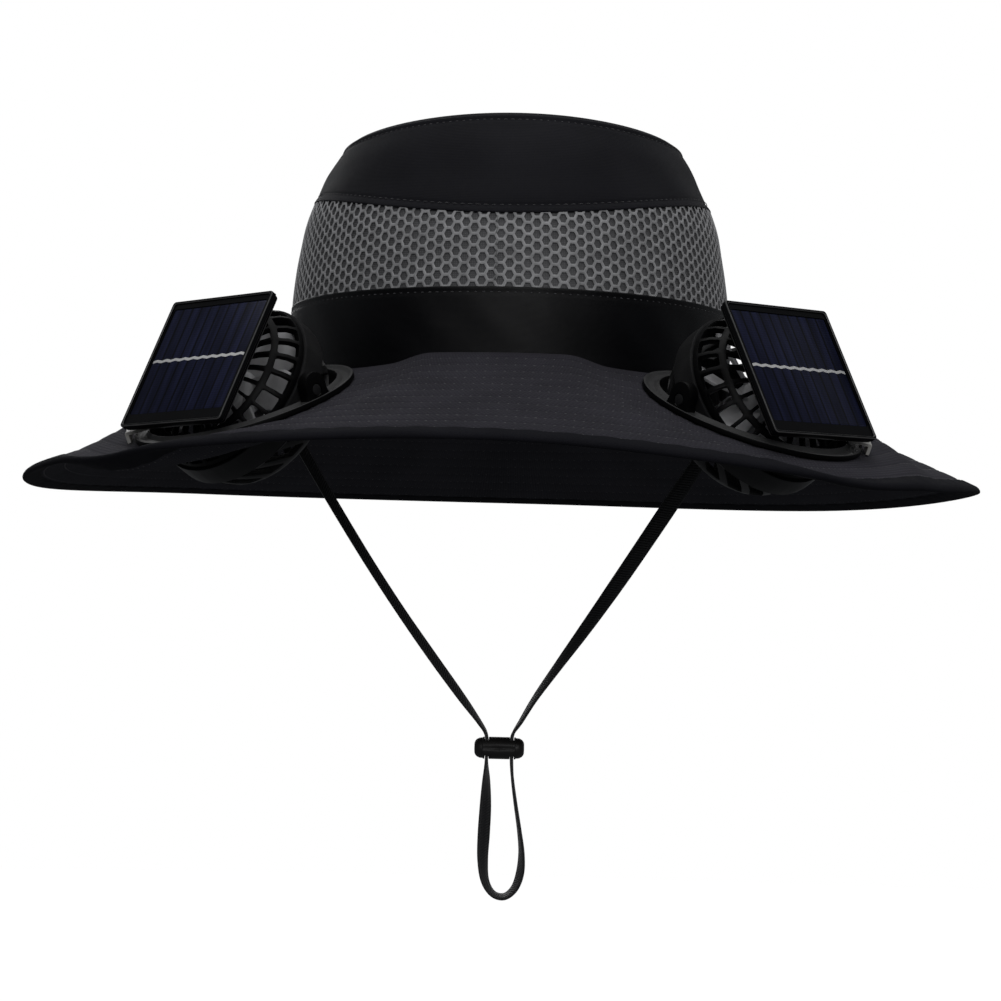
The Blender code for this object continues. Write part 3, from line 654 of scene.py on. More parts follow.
def makeStrap():
    stations = strapStations()
    points = [point for point, turn in stations]
    lengths = [0.0]
    for before, after in zip(points, points[1:]):
        lengths.append(lengths[-1] + (after - before).length)
    half, thick = strap["width"] / 2, strap["wall"] / 2
    rim, flat = half - strap["round"], half * strap["flatShare"] - 0.0004
    face = [(-rim, thick * 0.75), (-flat, thick), (0, thick * 0.92), (flat, thick), (rim, thick * 0.75)]
    outline = [(-half, 0), *face, (half, 0), *[(-across, -up) for across, up in face]]
    last = len(stations) - 1

    def pointAt(u, v):
        index = round(v * last)
        point, turn = stations[index]
        run = (points[min(index + 1, last)] - points[max(index - 1, 0)]).normalized()
        depth = Vector((0, 1, 0))
        side = run.cross(depth).normalized()
        across = depth * math.cos(turn) + side * math.sin(turn)
        up = run.cross(across).normalized()
        a, b = outline[round(u * len(outline)) % len(outline)]
        return point + across * a + up * b
    piece = clothGrid("chin_strap_braid", len(outline), last, pointAt)
    perimeter = 2 * strap["width"]
    for spot in piece.data.uv_layers[0].data:
        spot.uv = (spot.uv[0] * perimeter, lengths[round(spot.uv[1] * last)])
    atOpenEdges(piece, bpy.ops.mesh.edge_face_add)
    fixNormals(piece)
    smoothShade(piece, 60)
    finishPiece(piece, webbingMaterial(), "strap_webbing", "root", ("chin_strap",))
    return piece, points, lengths[-1]


def makeCordLock():
    # a round bar with a raised middle and a slot for each strand
    half = cordLock["length"] / 2
    profile = [(size, -along * half) for along, size in lockShape] + [(1.0, 0.0)]
    profile += [(size, along * half) for along, size in reversed(lockShape)]
    piece = turnedPiece("cord_lock_toggle", profile, 64, closed=False)
    for point in piece.data.vertices:
        along, x, y = point.co.z, point.co.x, point.co.y
        depth, height = x * cordLock["depth"] / 2, y * cordLock["height"] / 2
        inside = smoothStep((cordLock["grooveEnd"] * half - abs(along)) / 0.002)
        depth -= math.copysign(cordLock["groove"] * bump(height, 0.0007) * inside, depth)
        point.co = (cordLock["aside"] + along, depth, height + cordLock["centre"])
    for hand in (-1, 1):
        deselectAll()
        middle = cordLock["aside"] + hand * cordLock["slotOffset"]
        bpy.ops.mesh.primitive_cube_add(size=1, location=(middle, 0, cordLock["centre"]))
        cutter = bpy.context.object
        clear = cordLock["slotClear"]
        cutter.scale = (strap["wall"] + clear, strap["width"] + clear, 0.03)
        applyPlace(cutter)
        bevelEdges(cutter, 0.0005, 3)
        combine(piece, cutter)
    fixNormals(piece)
    smoothShade(piece, 40)
    lockMaterial = plasticMaterial("cordLockPlastic", "lockPlastic", grain=1500, grainDepth=0.00012)
    finishPiece(piece, lockMaterial, "lock_plastic", "root", ("cord_lock",))
    return piece


toggle = makeCordLock()
braid, braidPath, braidLength = makeStrap()
[tuple(point) for point in braidPath]
print("chin strap and toggle made, strap", round(braidLength, 4), "m")


# The hat's own form, shared by its cloth pieces

hat = {
    "halfWidth": 0.085, "halfDepth": 0.099, "height": 0.0883, "dome": 0.0045,
    "topWave": 0.0017, "topLean": 0.001, "meshTopFront": 0.0515, "meshTopSide": 0.065,
    "bandHeight": 0.024, "bandProud": 0.0006, "bandDrop": 0.007,
    "brimHalfWidth": 0.1842, "brimHalfDepth": 0.200, "brimOffset": 0.002, "brimDrop": 0.0415,
    "brimSway": 0.0011, "brimWall": 0.0022, "hemWidth": 0.007, "hemWall": 0.0028, "gap": 0.0003,
}

fanPlace = {
    "azimuth": 43.5, "radius": 0.134, "height": -0.0172, "slope": 24.0, "elevation": 27.9,
    "turns": (3.0, 1.9), "seat": 0.003, "flangeRadius": 0.041, "flangeWall": 0.0016,
    "blendStart": 0.014, "blendWidth": 0.016, "holeRadius": 0.0368,
}

crownTable = (
    # height, half-width, half-depth, as shares
    (-0.10, 1.000, 1.000), (0.00, 1.000, 1.000), (0.27, 0.996, 0.998), (0.42, 0.980, 0.986),
    (0.53, 0.961, 0.972), (0.635, 0.940, 0.950), (0.74, 0.901, 0.912), (0.85, 0.852, 0.872),
    (0.95, 0.805, 0.830), (1.00, 0.786, 0.814), (1.05, 0.766, 0.798),
)

# share of the rim's drop, from the back round by each eighth
rimTable = (0.95, 0.98, 1.08, 0.965, 0.865, 1.10, 0.995, 1.03)

brimTable = (
    # way out, fall
    (0.00, 0.00), (0.28, 0.30), (0.48, 0.50), (0.68, 0.70), (0.86, 0.87), (1.00, 1.00),
)


def ringPoint(halfWidth, halfDepth, azimuth, height):
    turn = math.radians(azimuth)
    return Vector((halfWidth * math.sin(turn), -halfDepth * math.cos(turn), height))


def topSeam(azimuth):
    turn = math.radians(azimuth)
    return hat["height"] + hat["topWave"] * math.cos(2 * turn) + hat["topLean"] * math.sin(turn)


def meshSeam(azimuth):
    front = math.cos(math.radians(azimuth)) ** 2
    return hat["meshTopSide"] + (hat["meshTopFront"] - hat["meshTopSide"]) * front


def crownPoint(azimuth, height, outward=0.0):
    share = height / hat["height"]
    halfWidth = hat["halfWidth"] * tableShare(crownTable, 1, share) + outward
    halfDepth = hat["halfDepth"] * tableShare(crownTable, 2, share) + outward
    return ringPoint(halfWidth, halfDepth, azimuth, height)


def ellipseRadius(halfWidth, halfDepth, azimuth):
    turn = math.radians(azimuth)
    return 1.0 / math.hypot(math.sin(turn) / halfWidth, math.cos(turn) / halfDepth)


def seamRadius(azimuth):
    clear = hat["bandProud"] + hat["gap"]
    return ellipseRadius(hat["halfWidth"] + clear, hat["halfDepth"] + clear, azimuth)


def rimRadius(azimuth):
    # a little wider at the viewer's left
    rim = ellipseRadius(hat["brimHalfWidth"], hat["brimHalfDepth"], azimuth)
    return rim - hat["brimOffset"] * math.sin(math.radians(azimuth))


def rimDrop(azimuth):
    count = len(rimTable)
    spot = ((azimuth + 180.0) % 360.0) * count / 360.0
    index = int(spot)
    shares = [rimTable[(index + shift) % count] for shift in (-1, 0, 1, 2)]
    return hat["brimDrop"] * curveThrough(*shares, spot - index)


def unitFrame(side):
    azimuth = math.radians(side * fanPlace["azimuth"])
    place = ringPoint(fanPlace["radius"], fanPlace["radius"], side * fanPlace["azimuth"], fanPlace["height"])
    return Matrix.Translation(place) @ Matrix.Rotation(azimuth, 4, "Z")


def baseFrame(side):
    turn = fanPlace["turns"][0] if side < 0 else fanPlace["turns"][1]
    return (unitFrame(side) @ Matrix.Rotation(math.radians(fanPlace["slope"]), 4, "X")
            @ Matrix.Rotation(math.radians(turn), 4, "Z"))


def headFrame(side):
    lean = 90 - fanPlace["elevation"] - fanPlace["slope"]
    return baseFrame(side) @ Matrix.Rotation(math.radians(lean), 4, "X")


seatLevel = -fanPlace["seat"] - fanPlace["flangeWall"] - hat["gap"]
seats = []
for sideSign in (-1, 1):
    seatTurn = baseFrame(sideSign)
    seatNormal = seatTurn.to_3x3() @ Vector((0, 0, 1))
    seats.append((seatTurn.inverted(), seatNormal, seatTurn @ Vector((0, 0, seatLevel))))


def brimHeight(azimuth, radius):
    # a wide cone, pressed flat where a fan base sits on it
    start = seamRadius(azimuth)
    out = (radius - start) / (rimRadius(azimuth) - start)
    height = -rimDrop(azimuth) * tableShare(brimTable, 1, out)
    height += hat["brimSway"] * math.sin(math.radians(azimuth)) * math.sin(math.pi * out)
    place = ringPoint(radius, radius, azimuth, 0)
    for inverse, normal, seat in seats:
        rise = normal.x * (place.x - seat.x) + normal.y * (place.y - seat.y)
        flat = seat.z - rise / normal.z
        local = inverse @ Vector((place.x, place.y, flat))
        away = math.hypot(local.x, local.y) - fanPlace["flangeRadius"] - fanPlace["blendStart"]
        height += (1 - smoothStep(away / fanPlace["blendWidth"])) * (flat - height)
    return height


def brimPoint(azimuth, radius, lowered=0.0):
    return ringPoint(radius, radius, azimuth, brimHeight(azimuth, radius) - lowered)


def seatDistance(place):
    return min(math.hypot(*(inverse @ place).xy) for inverse, normal, seat in seats)


# Crown: top panel, upper wall, net on its backing, and band

crown = {
    "columns": 384, "upperRows": 64, "tipRows": 60, "wall": 0.0012, "softness": 0.00055,
    "topStitchDrop": 0.0024, "foldStitchRise": 0.0024, "foldProud": 0.0006, "foldReach": 0.003,
    "rollIn": 0.0021, "rollHeight": 0.012, "flatter": 0.6, "tipCrowding": 1.6, "tipReach": 0.07,
    "upperSize": (0.54, 0.033), "tipSize": (0.066, 0.080),
}

net = {
    "columns": 160, "rows": 11, "columnStep": 0.00352, "rowStep": 0.0043, "thread": 0.00135,
    "proud": 0.0001, "flatter": 0.4, "softShare": 0.3,
    "backingIn": 0.0008, "backingWall": 0.0004, "backingSize": (0.56, 0.036),
}

band = {
    "rows": 48, "wall": 0.002, "puff": 0.0004, "edgeRound": 0.0006, "stitchDrop": 0.0022,
    "size": (0.58, 0.031),
}

clothEdge = 1.0    # least angle of an edge that is rounded on the crown's cloth, in radians


def crownSoftness(azimuth, share):
    # slow swells in the cloth, none at the seams
    turn = math.radians(azimuth)
    swell = (math.sin(3 * turn + 0.6 + 1.2 * share) + 0.7 * math.sin(7 * turn - 2.2 * share + 1.1)
             + 0.45 * math.sin(13 * turn + 4.0 * share))
    return crown["softness"] * swell * math.sin(math.pi * share)


def rollIn(azimuth, height):
    # the wall rounds in towards the top seam
    start = topSeam(azimuth) - crown["rollHeight"]
    return crown["rollIn"] * max((height - start) / crown["rollHeight"], 0.0) ** 2


def makeCrownUpper(material):
    def pointAt(u, v):
        azimuth = 360 * u
        low = meshSeam(azimuth) - 0.0004
        high = topSeam(azimuth) - 0.0006
        height = low + v * (high - low)
        outward = crownSoftness(azimuth, v)
        outward += crown["foldProud"] * (1 - smoothStep((height - low) / crown["foldReach"]))
        # the stitches draw the cloth in, and the seams stand out
        outward -= 0.00035 * bump(height - (topSeam(azimuth) - crown["topStitchDrop"]), 0.0007)
        outward -= 0.00030 * bump(height - (low + 0.0028), 0.0006)
        outward += 0.0004 * bump(height - high, 0.0014)
        return crownPoint(azimuth, height, outward - rollIn(azimuth, height))
    piece = clothGrid("crown_upper_cloth", crown["columns"], crown["upperRows"], pointAt,
                      size=crown["upperSize"])
    applyModifier(piece, "SOLIDIFY", thickness=crown["wall"], offset=-1)
    bevelEdges(piece, 0.0004, 2, clothEdge)
    smoothShade(piece, 50)
    finishPiece(piece, material, "dark_cloth", "root", ("crown_upper",))


def tipPoint(azimuth, share):
    seam = topSeam(azimuth)
    edge = crownPoint(azimuth, seam, 0.0002 - crown["rollIn"])
    rise = hat["dome"] * (1 - share ** 2) * (1 - crown["flatter"] * share ** 2)
    height = hat["height"] + rise + (seam - hat["height"]) * share ** 2
    turn = math.radians(azimuth)
    height += 0.0005 * math.sin(2 * turn + 1) * math.sin(math.pi * share)
    height += 0.0003 * math.sin(5 * turn) * share * (1 - share)
    fromSeam = (1 - share) * crown["tipReach"]
    height += 0.0005 * bump(fromSeam - 0.0016, 0.0012) - 0.0007 * bump(fromSeam, 0.0009)
    return Vector((edge.x * share, edge.y * share, height))


def makeCrownTip(material):
    def shareAt(v):
        return 1 - (1 - v) ** crown["tipCrowding"]
    piece = clothGrid("crown_tip_cloth", crown["columns"], crown["tipRows"],
                      lambda u, v: tipPoint(360 * u, shareAt(v)))
    for spot in piece.data.uv_layers[0].data:
        turn, share = spot.uv[0] * math.tau, shareAt(spot.uv[1])
        spot.uv = (crown["tipSize"][0] * share * math.sin(turn), crown["tipSize"][1] * share * math.cos(turn))
    editAll(piece, bpy.ops.mesh.flip_normals)
    applyModifier(piece, "SOLIDIFY", thickness=crown["wall"], offset=-1)
    smoothShade(piece, 50)
    finishPiece(piece, material, "dark_cloth", "root", ("crown_tip",))


def makeNetBacking(material):
    def pointAt(u, v):
        azimuth = 360 * u
        low = hat["bandHeight"] - 0.0015
        height = low + v * (meshSeam(azimuth) + 0.0012 - low)
        soft = net["softShare"] * crownSoftness(azimuth, v)
        return crownPoint(azimuth, height, soft - net["backingIn"])
    piece = clothGrid("crown_mesh_backing", 288, 20, pointAt, size=net["backingSize"])
    applyModifier(piece, "SOLIDIFY", thickness=net["backingWall"], offset=-1)
    smoothShade(piece, 50)
    finishPiece(piece, material, "honeycomb_mesh", "root", ("crown_mesh",))


def makeNet(material):
    # one hexagon copied into a flat lattice, turned into threads, then wrapped round the crown
    columnStep, rowStep = net["columnStep"], net["rowStep"]
    corner = columnStep / 1.5
    deselectAll()
    bpy.ops.mesh.primitive_circle_add(vertices=6, radius=corner, fill_type="NGON",
                                      rotation=(0, 0, math.radians(30)))
    cell = bpy.context.object
    applyPlace(cell)
    stretch = rowStep / (corner * math.sqrt(3))
    for point in cell.data.vertices:
        point.co.y *= stretch
    cells = [Matrix.Translation((column * columnStep, rowStep * (row + 0.5 * (column % 2)), 0))
             for column in range(net["columns"]) for row in range(net["rows"])]
    piece = scatterJoined("crown_mesh_net", cell, cells)
    bpy.data.objects.remove(cell)
    fixNormals(piece, columnStep * 0.08)
    applyModifier(piece, "WIREFRAME", thickness=net["thread"], use_replace=True, use_boundary=True,
                  use_even_offset=False)
    wide = net["columns"] * columnStep
    low = hat["bandHeight"] - 0.001
    for point in piece.data.vertices:
        azimuth = 360 * point.co.x / wide
        height = min(low - rowStep * 0.3 + point.co.y, meshSeam(azimuth) + 0.0006)
        height = max(height, low)
        place = crownPoint(azimuth, height, net["proud"] + point.co.z * net["flatter"])
        share = (height - low) / (meshSeam(azimuth) - low)
        out = Vector((place.x, place.y, 0)).normalized()
        point.co = place + out * net["softShare"] * crownSoftness(azimuth, share)
    smoothShade(piece, 70)
    finishPiece(piece, material, "honeycomb_mesh", "root")


def makeBand(material):
    def pointAt(u, v):
        azimuth = 360 * u
        height = -hat["bandDrop"] + v * (hat["bandHeight"] + hat["bandDrop"])
        turn = math.radians(azimuth)
        share = max(height, 0.0) / hat["bandHeight"]
        swell = math.sin(math.pi * share)
        outward = hat["bandProud"] + band["puff"] * swell * (0.8 + 0.2 * math.sin(5 * turn))
        outward += 0.00015 * math.sin(23 * turn + 5 * share) * swell
        outward -= 0.00025 * bump(height - (hat["bandHeight"] - band["stitchDrop"]), 0.0006)
        return crownPoint(azimuth, height, outward)
    piece = clothGrid("crown_band_cloth", crown["columns"], band["rows"], pointAt, size=band["size"])
    applyModifier(piece, "SOLIDIFY", thickness=band["wall"], offset=-1)
    bevelEdges(piece, band["edgeRound"], 3, clothEdge)
    smoothShade(piece, 50)
    finishPiece(piece, material, "band_cloth", "root", ("crown_band",))


crownMaterial = wovenCloth("crownPlainWeave", "crownCloth")
makeCrownUpper(crownMaterial)
makeCrownTip(crownMaterial)
makeNetBacking(wovenCloth("netBackingWeave", "netBacking"))
makeNet(threadMaterial("netThreads", "netThread"))
makeBand(wovenCloth("bandSatin", "bandCloth"))
print("crown made")


# Brim and its bound edge

brim = {
    "columns": 360, "rows": 88, "quiltStep": 0.0078, "firstRow": 0.0016, "quiltDepth": 0.00032,
    "quiltWidth": 0.0011, "tuck": 0.0006, "size": (0.91, 0.184), "depth": 0.094,
}

hem = {"columns": 480, "ripples": 97, "rippleDepth": 0.00012, "size": (1.21, 0.018)}

brimFall = hat["brimWall"] / math.cos(math.radians(fanPlace["slope"]))    # wall's height on the slope


def quiltPinch(inset):
    # how far the cloth is drawn in by the rows of stitches, at a distance in from the hem
    spot = (inset - brim["firstRow"]) / brim["quiltStep"]
    away = (spot - round(spot)) * brim["quiltStep"]
    return brim["quiltDepth"] * bump(away, brim["quiltWidth"]) if spot > -0.5 else 0.0


def brimEnds(azimuth):
    # both edges are tucked in, under the band and in the hem's fold
    return (seamRadius(azimuth) - brim["tuck"],
            rimRadius(azimuth) - hat["hemWidth"] + brim["tuck"])


def makeBrim(topMaterial, liningMaterial):
    def pointAt(u, v):
        azimuth = 360 * u
        start, end = brimEnds(azimuth)
        under = v > 0.5
        share = (1 - v) * 2 if under else v * 2       # 0 at the hem, 1 at the crown
        radius = end - share * (end - start)
        pinch = quiltPinch(end - radius)
        return brimPoint(azimuth, radius, brimFall - pinch if under else pinch)
    piece = clothGrid("brim_cloth", brim["columns"], 2 * brim["rows"] + 1, pointAt, size=brim["size"])
    atOpenEdges(piece, bpy.ops.mesh.bridge_edge_loops)
    fixNormals(piece)
    for side in (-1, 1):
        deselectAll()
        bpy.ops.mesh.primitive_cylinder_add(vertices=128, radius=fanPlace["holeRadius"], depth=0.02)
        cutter = bpy.context.object
        cutter.matrix_world = baseFrame(side) @ Matrix.Translation((0, 0, seatLevel))
        combine(piece, cutter)
    smoothShade(piece, 40)
    finishPiece(piece, topMaterial, "brim_cloth", "root", ("brim",))
    piece.data.materials.append(liningMaterial)
    for face in piece.data.polygons:
        face.material_index = 1 if face.normal.z < 0 else 0


def makeHem(material):
    # a folded tape round the rim: its section runs over the top, round the fold and back below
    proud = (hat["hemWall"] - hat["brimWall"]) / 2
    width, wall = hat["hemWidth"], hat["hemWall"]
    section = [
        (width, 0.0002), (width - 0.0003, -proud * 0.8), (width * 0.8, -proud),
        (width * 0.5, -proud * 1.1), (wall * 0.55, -proud),
        *[(wall * inward, wall * down - proud) for inward, down in (
            (0.22, 0.12), (0.04, 0.32), (0.0, 0.5), (0.04, 0.68), (0.22, 0.88), (0.55, 1.0))],
        (width * 0.5, wall - proud * 0.9), (width * 0.8, wall - proud),
        (width - 0.0003, wall - proud * 1.2), (width, wall - proud * 2.0)]

    def pointAt(u, v):
        azimuth = 360 * u
        inset, lowered = section[round(v * len(section)) % len(section)]
        ripple = hem["rippleDepth"] * math.sin(hem["ripples"] * math.radians(azimuth))
        ripple *= smoothStep(inset / width)
        return brimPoint(azimuth, rimRadius(azimuth) - inset, lowered - ripple)
    piece = clothGrid("brim_edge_tape", hem["columns"], len(section), pointAt, size=hem["size"])
    fixNormals(piece)
    smoothShade(piece, 60)
    finishPiece(piece, material, "hem_cloth", "root", ("brim_edge",))


makeBrim(brimClothMaterial(), wovenCloth("brimUnderside", "brimLining"))
makeHem(wovenCloth("hemTape", "hemCloth"))
print("brim made")


# Stitches

stitch = {
    "length": 0.0021, "pitch": 0.0031, "thick": 0.00042, "lift": 0.00002, "dip": 0.00022,
    "flangeClear": 0.0006, "clampClear": 0.0042,
}


def makeStitchShape():
    # a short thread, thick in the middle, that dips into the cloth at both ends
    deselectAll()
    bpy.ops.mesh.primitive_cone_add(vertices=5, radius1=stitch["thick"] / 2, radius2=0,
                                    depth=stitch["length"] / 2, rotation=(0, math.radians(90), 0),
                                    location=(stitch["length"] / 4, 0, 0), end_fill_type="NOTHING")
    shape = bpy.context.object
    applyPlace(shape)
    applyModifier(shape, "MIRROR", use_axis=(True, False, False), merge_threshold=1e-5)
    for point in shape.data.vertices:
        point.co.z -= stitch["dip"] * (2 * point.co.x / stitch["length"]) ** 2
    fixNormals(shape)
    return shape


def alongLine(lineAt, azimuth):
    return lineAt(azimuth + 0.4) - lineAt(azimuth - 0.4)


def stitchFrames(lineAt, upAt, length, keep=None):
    # frames at even steps along a closed line round the hat
    count = round(length / stitch["pitch"])
    frames = []
    for step in range(count):
        azimuth = 360 * step / count
        place = lineAt(azimuth)
        if keep and not keep(place):
            continue
        up = upAt(azimuth, place).normalized()
        frames.append(axesFrame(place + up * stitch["lift"], alongLine(lineAt, azimuth), up))
    return frames


def crownStitchRows():
    def topAt(azimuth):
        height = topSeam(azimuth) - crown["topStitchDrop"]
        return crownPoint(azimuth, height, -0.0002 - rollIn(azimuth, height))

    def foldAt(azimuth):
        return crownPoint(azimuth, meshSeam(azimuth) + crown["foldStitchRise"], 0.0)

    def bandAt(azimuth):
        height = hat["bandHeight"] - band["stitchDrop"]
        return crownPoint(azimuth, height, hat["bandProud"] - 0.0001)

    def outward(azimuth, place):
        return Vector((place.x, place.y, 0))
    return [(name, stitchFrames(lineAt, outward, length), slot) for name, lineAt, length, slot in (
        ("crown_top_stitches", topAt, 0.49, "dark_cloth"),
        ("crown_fold_stitches", foldAt, 0.54, "dark_cloth"),
        ("crown_band_stitches", bandAt, 0.58, "band_cloth"))]


def brimStitchRows():
    # a row of stitches along each pinch of the quilting, above and below
    topFrames, underFrames = [], []

    def overBase(place):
        return seatDistance(place) > fanPlace["flangeRadius"] + stitch["flangeClear"]

    def underBase(place):
        return seatDistance(place) > fanPlace["holeRadius"] + stitch["clampClear"]
    for row in range(int(brim["depth"] / brim["quiltStep"]) + 1):
        inset = brim["firstRow"] + row * brim["quiltStep"]
        pinch = quiltPinch(inset)

        def lineAt(azimuth, lowered=pinch):
            start, end = brimEnds(azimuth)
            return brimPoint(azimuth, max(end - inset, start + 0.001), lowered)

        def upAt(azimuth, place):
            start, end = brimEnds(azimuth)
            slope = lineAt(azimuth) - brimPoint(azimuth, end - inset - 0.002, pinch)
            up = alongLine(lineAt, azimuth).cross(slope)
            return up if up.z > 0 else -up
        start, end = brimEnds(45)
        if end - inset < start + 0.002:
            continue
        length = math.tau * (end - inset)
        topFrames += stitchFrames(lineAt, upAt, length, overBase)
        underFrames += stitchFrames(lambda azimuth: lineAt(azimuth, brimFall - pinch),
                                    lambda azimuth, place: -upAt(azimuth, place), length, underBase)
    return [("brim_top_stitches", topFrames, "brim_cloth"),
            ("brim_under_stitches", underFrames, "brim_cloth")]


def makeStitches(material):
    shape = makeStitchShape()
    for name, frames, slot in crownStitchRows() + brimStitchRows():
        piece = scatterJoined(name, shape, frames)
        smoothShade(piece, 80)
        finishPiece(piece, material, slot, "root")
    bpy.data.objects.remove(shape)


makeStitches(threadMaterial("stitchThreads", "stitchThread"))
print("stitches made")


# Fans: shared ways of making their pieces

fanBase = {
    "bore": 0.035, "collarWall": 0.0015, "collarRim": 0.0008, "collarEnd": 0.0004,
    "lipRise": 0.0004, "lipWidth": 0.0012, "dishWidth": 0.0022, "dishDepth": 0.0005,
    "clampWall": 0.002, "clampWidth": 0.0025, "sides": 128,
    "earWidth": 0.010, "earWall": 0.0045, "earRise": 0.0065, "earRound": 0.0006, "pivotHole": 0.0023,
    "tabAngle": 42.0, "tabWidth": 0.010, "tabRise": 0.0009, "tabInset": 0.0067,
    "tabReach": 0.0028, "tabWall": 0.0013,
}

fanHead = {
    "radius": 0.034, "cageRadius": 0.0334, "front": 0.0178, "back": 0.019, "wall": 0.002,
    "ribs": 26, "ribWidth": 0.0016, "vents": 18, "ventBar": 0.0042, "slant": 14.0,
    "corner": 0.0009, "edgeRound": 0.00032, "pin": 0.002,
}

impeller = {
    "middle": 0.001, "hubRadius": 0.0085, "hubHeight": 0.009, "blades": 7, "pitch": 34.0,
    "rootChord": 0.0105, "tipChord": 0.0165, "wall": 0.0012, "tipClear": 0.0025,
}

panel = {
    "size": 0.0534, "wall": 0.0038, "corner": 0.0014, "backBevel": 0.0006, "edge": 0.00035,
    "lip": 0.0010, "lipDrop": 0.0006, "sideStep": 0.0004,
    "footBorder": 0.0052, "headBorder": 0.0032, "sideBorder": 0.0018,
    "cellsBelow": 0.0008, "cellsWall": 0.0006, "neckRadius": 0.0165, "neckHeight": 0.0028,
}


def loftedPiece(name, loops):
    # a closed body through loops of points
    count = len(loops[0])

    def pointAt(u, v):
        return loops[round(v * (len(loops) - 1))][round(u * count) % count]
    piece = clothGrid(name, count, len(loops) - 1, pointAt)
    atOpenEdges(piece, bpy.ops.mesh.edge_face_add)
    fixNormals(piece)
    return piece


def turnedSpot(radius, turn, height):
    return Vector((radius * math.cos(turn), radius * math.sin(turn), height))


def stationRow(stretches, corner):
    # stations over stretches of (length, open), closer together at an opening's round corners:
    # place, way into the opening, depth in it, whether what follows is open
    stations = []
    place = 0.0
    before = False
    for length, isOpen in stretches:
        if isOpen:
            near = [corner * share for share in (0.0, 0.3, 0.65, 1.0)]
            offsets = near + [length / 2] + [length - offset for offset in reversed(near[1:])]
            for offset in offsets:
                depth = min(offset, length - offset)
                stations.append((place + offset, 1 if offset < length / 2 else -1, depth, True))
        else:
            stations.append((place, -1 if before else 0, 0.0, False))
        place += length
        before = isOpen
    return stations, place


def roundedPlace(column, row, corner):
    # a station pair's place, drawn in where it lies on an opening's corner
    places = [column[0], row[0]]
    signs, depths = (column[1], row[1]), (column[2], row[2])
    if all(signs) and min(depths) < 1e-9 and max(depths) < corner:
        turn = math.radians(45) * (1 - max(depths) / corner)
        edge = 0 if depths[0] <= depths[1] else 1
        reached = [0.0, 0.0]
        reached[edge] = corner * (1 - math.cos(turn))
        reached[1 - edge] = corner * (1 - math.sin(turn))
        for way in (0, 1):
            places[way] += signs[way] * (reached[way] - depths[way])
    return places


def piercedShell(name, count, bar, profile, stretches, slantAt):
    # a turned shell with round-cornered openings between its bars
    corner = fanHead["corner"]
    pitch = math.tau * fanHead["cageRadius"] / count
    columns, around = stationRow([(bar, False), (pitch - bar, True)] * count, corner)
    rows, length = stationRow(stretches, corner)
    rows.append((length, 0, 0.0, False))

    def pointAt(u, v):
        column = columns[round(u * len(columns)) % len(columns)]
        row = rows[round(v * (len(rows) - 1))]
        across, along = roundedPlace(column, row, corner)
        way = min(max(along / length, 0.0), 1.0)
        radius, height = tableShare(profile, 1, way), tableShare(profile, 2, way)
        turn = across / fanHead["cageRadius"] + math.radians(slantAt(height))
        return turnedSpot(radius, turn, height)
    piece = clothGrid(name, len(columns), len(rows) - 1, pointAt)

    def isOpen(face):
        spots = piece.data.uv_layers[0].data
        total = sum((spots[loop].uv for loop in face.loop_indices), Vector((0, 0)))
        share = total / len(face.loop_indices)
        column = columns[int(share.x * len(columns))]
        row = rows[int(share.y * (len(rows) - 1))]
        return column[3] and row[3]
    selectInEdit(piece, "FACE", isOpen)
    bpy.ops.mesh.delete(type="FACE")
    hub = min(profile[0][1], profile[-1][1]) + 1e-5
    selectInEdit(piece, "EDGE", lambda edge: all(
        math.hypot(*piece.data.vertices[index].co.xy) < hub for index in edge.vertices))
    bpy.ops.mesh.edge_face_add()
    bpy.ops.object.mode_set(mode="OBJECT")
    applyModifier(piece, "SOLIDIFY", thickness=fanHead["wall"], offset=-1)
    bevelEdges(piece, fanHead["edgeRound"])
    return piece


# Fan bases

def earLoops(hand):
    half = fanBase["earWidth"] / 2
    bottom = -fanPlace["seat"] - fanPlace["flangeWall"] / 2
    centre = fanBase["earRise"] - half
    foot = [(half * 1.35, bottom), (half * 1.12, bottom + 0.0012), (half, bottom + 0.0030)]
    outline = list(foot)
    steps = 16
    for step in range(steps + 1):
        turn = math.pi * step / steps
        outline.append((half * math.cos(turn), centre + half * math.sin(turn)))
    outline += [(-y, z) for y, z in reversed(foot)]
    near, far, soft = fanBase["bore"], fanBase["bore"] + fanBase["earWall"], fanBase["earRound"]
    loops = []
    for x, shrink in ((near, soft), (near + soft * 0.3, soft * 0.3), (near + soft, 0), (far - soft, 0),
                      (far - soft * 0.3, soft * 0.3), (far, soft)):
        loop = []
        for y, z in outline:
            reach = math.hypot(y, max(z - centre, 0))
            share = 1 - shrink / max(reach, soft * 2)
            lifted = centre + (z - centre) * share if z > centre else z
            loop.append(Vector((hand * x, y * share, lifted)))
        loops.append(loop)
    return loops


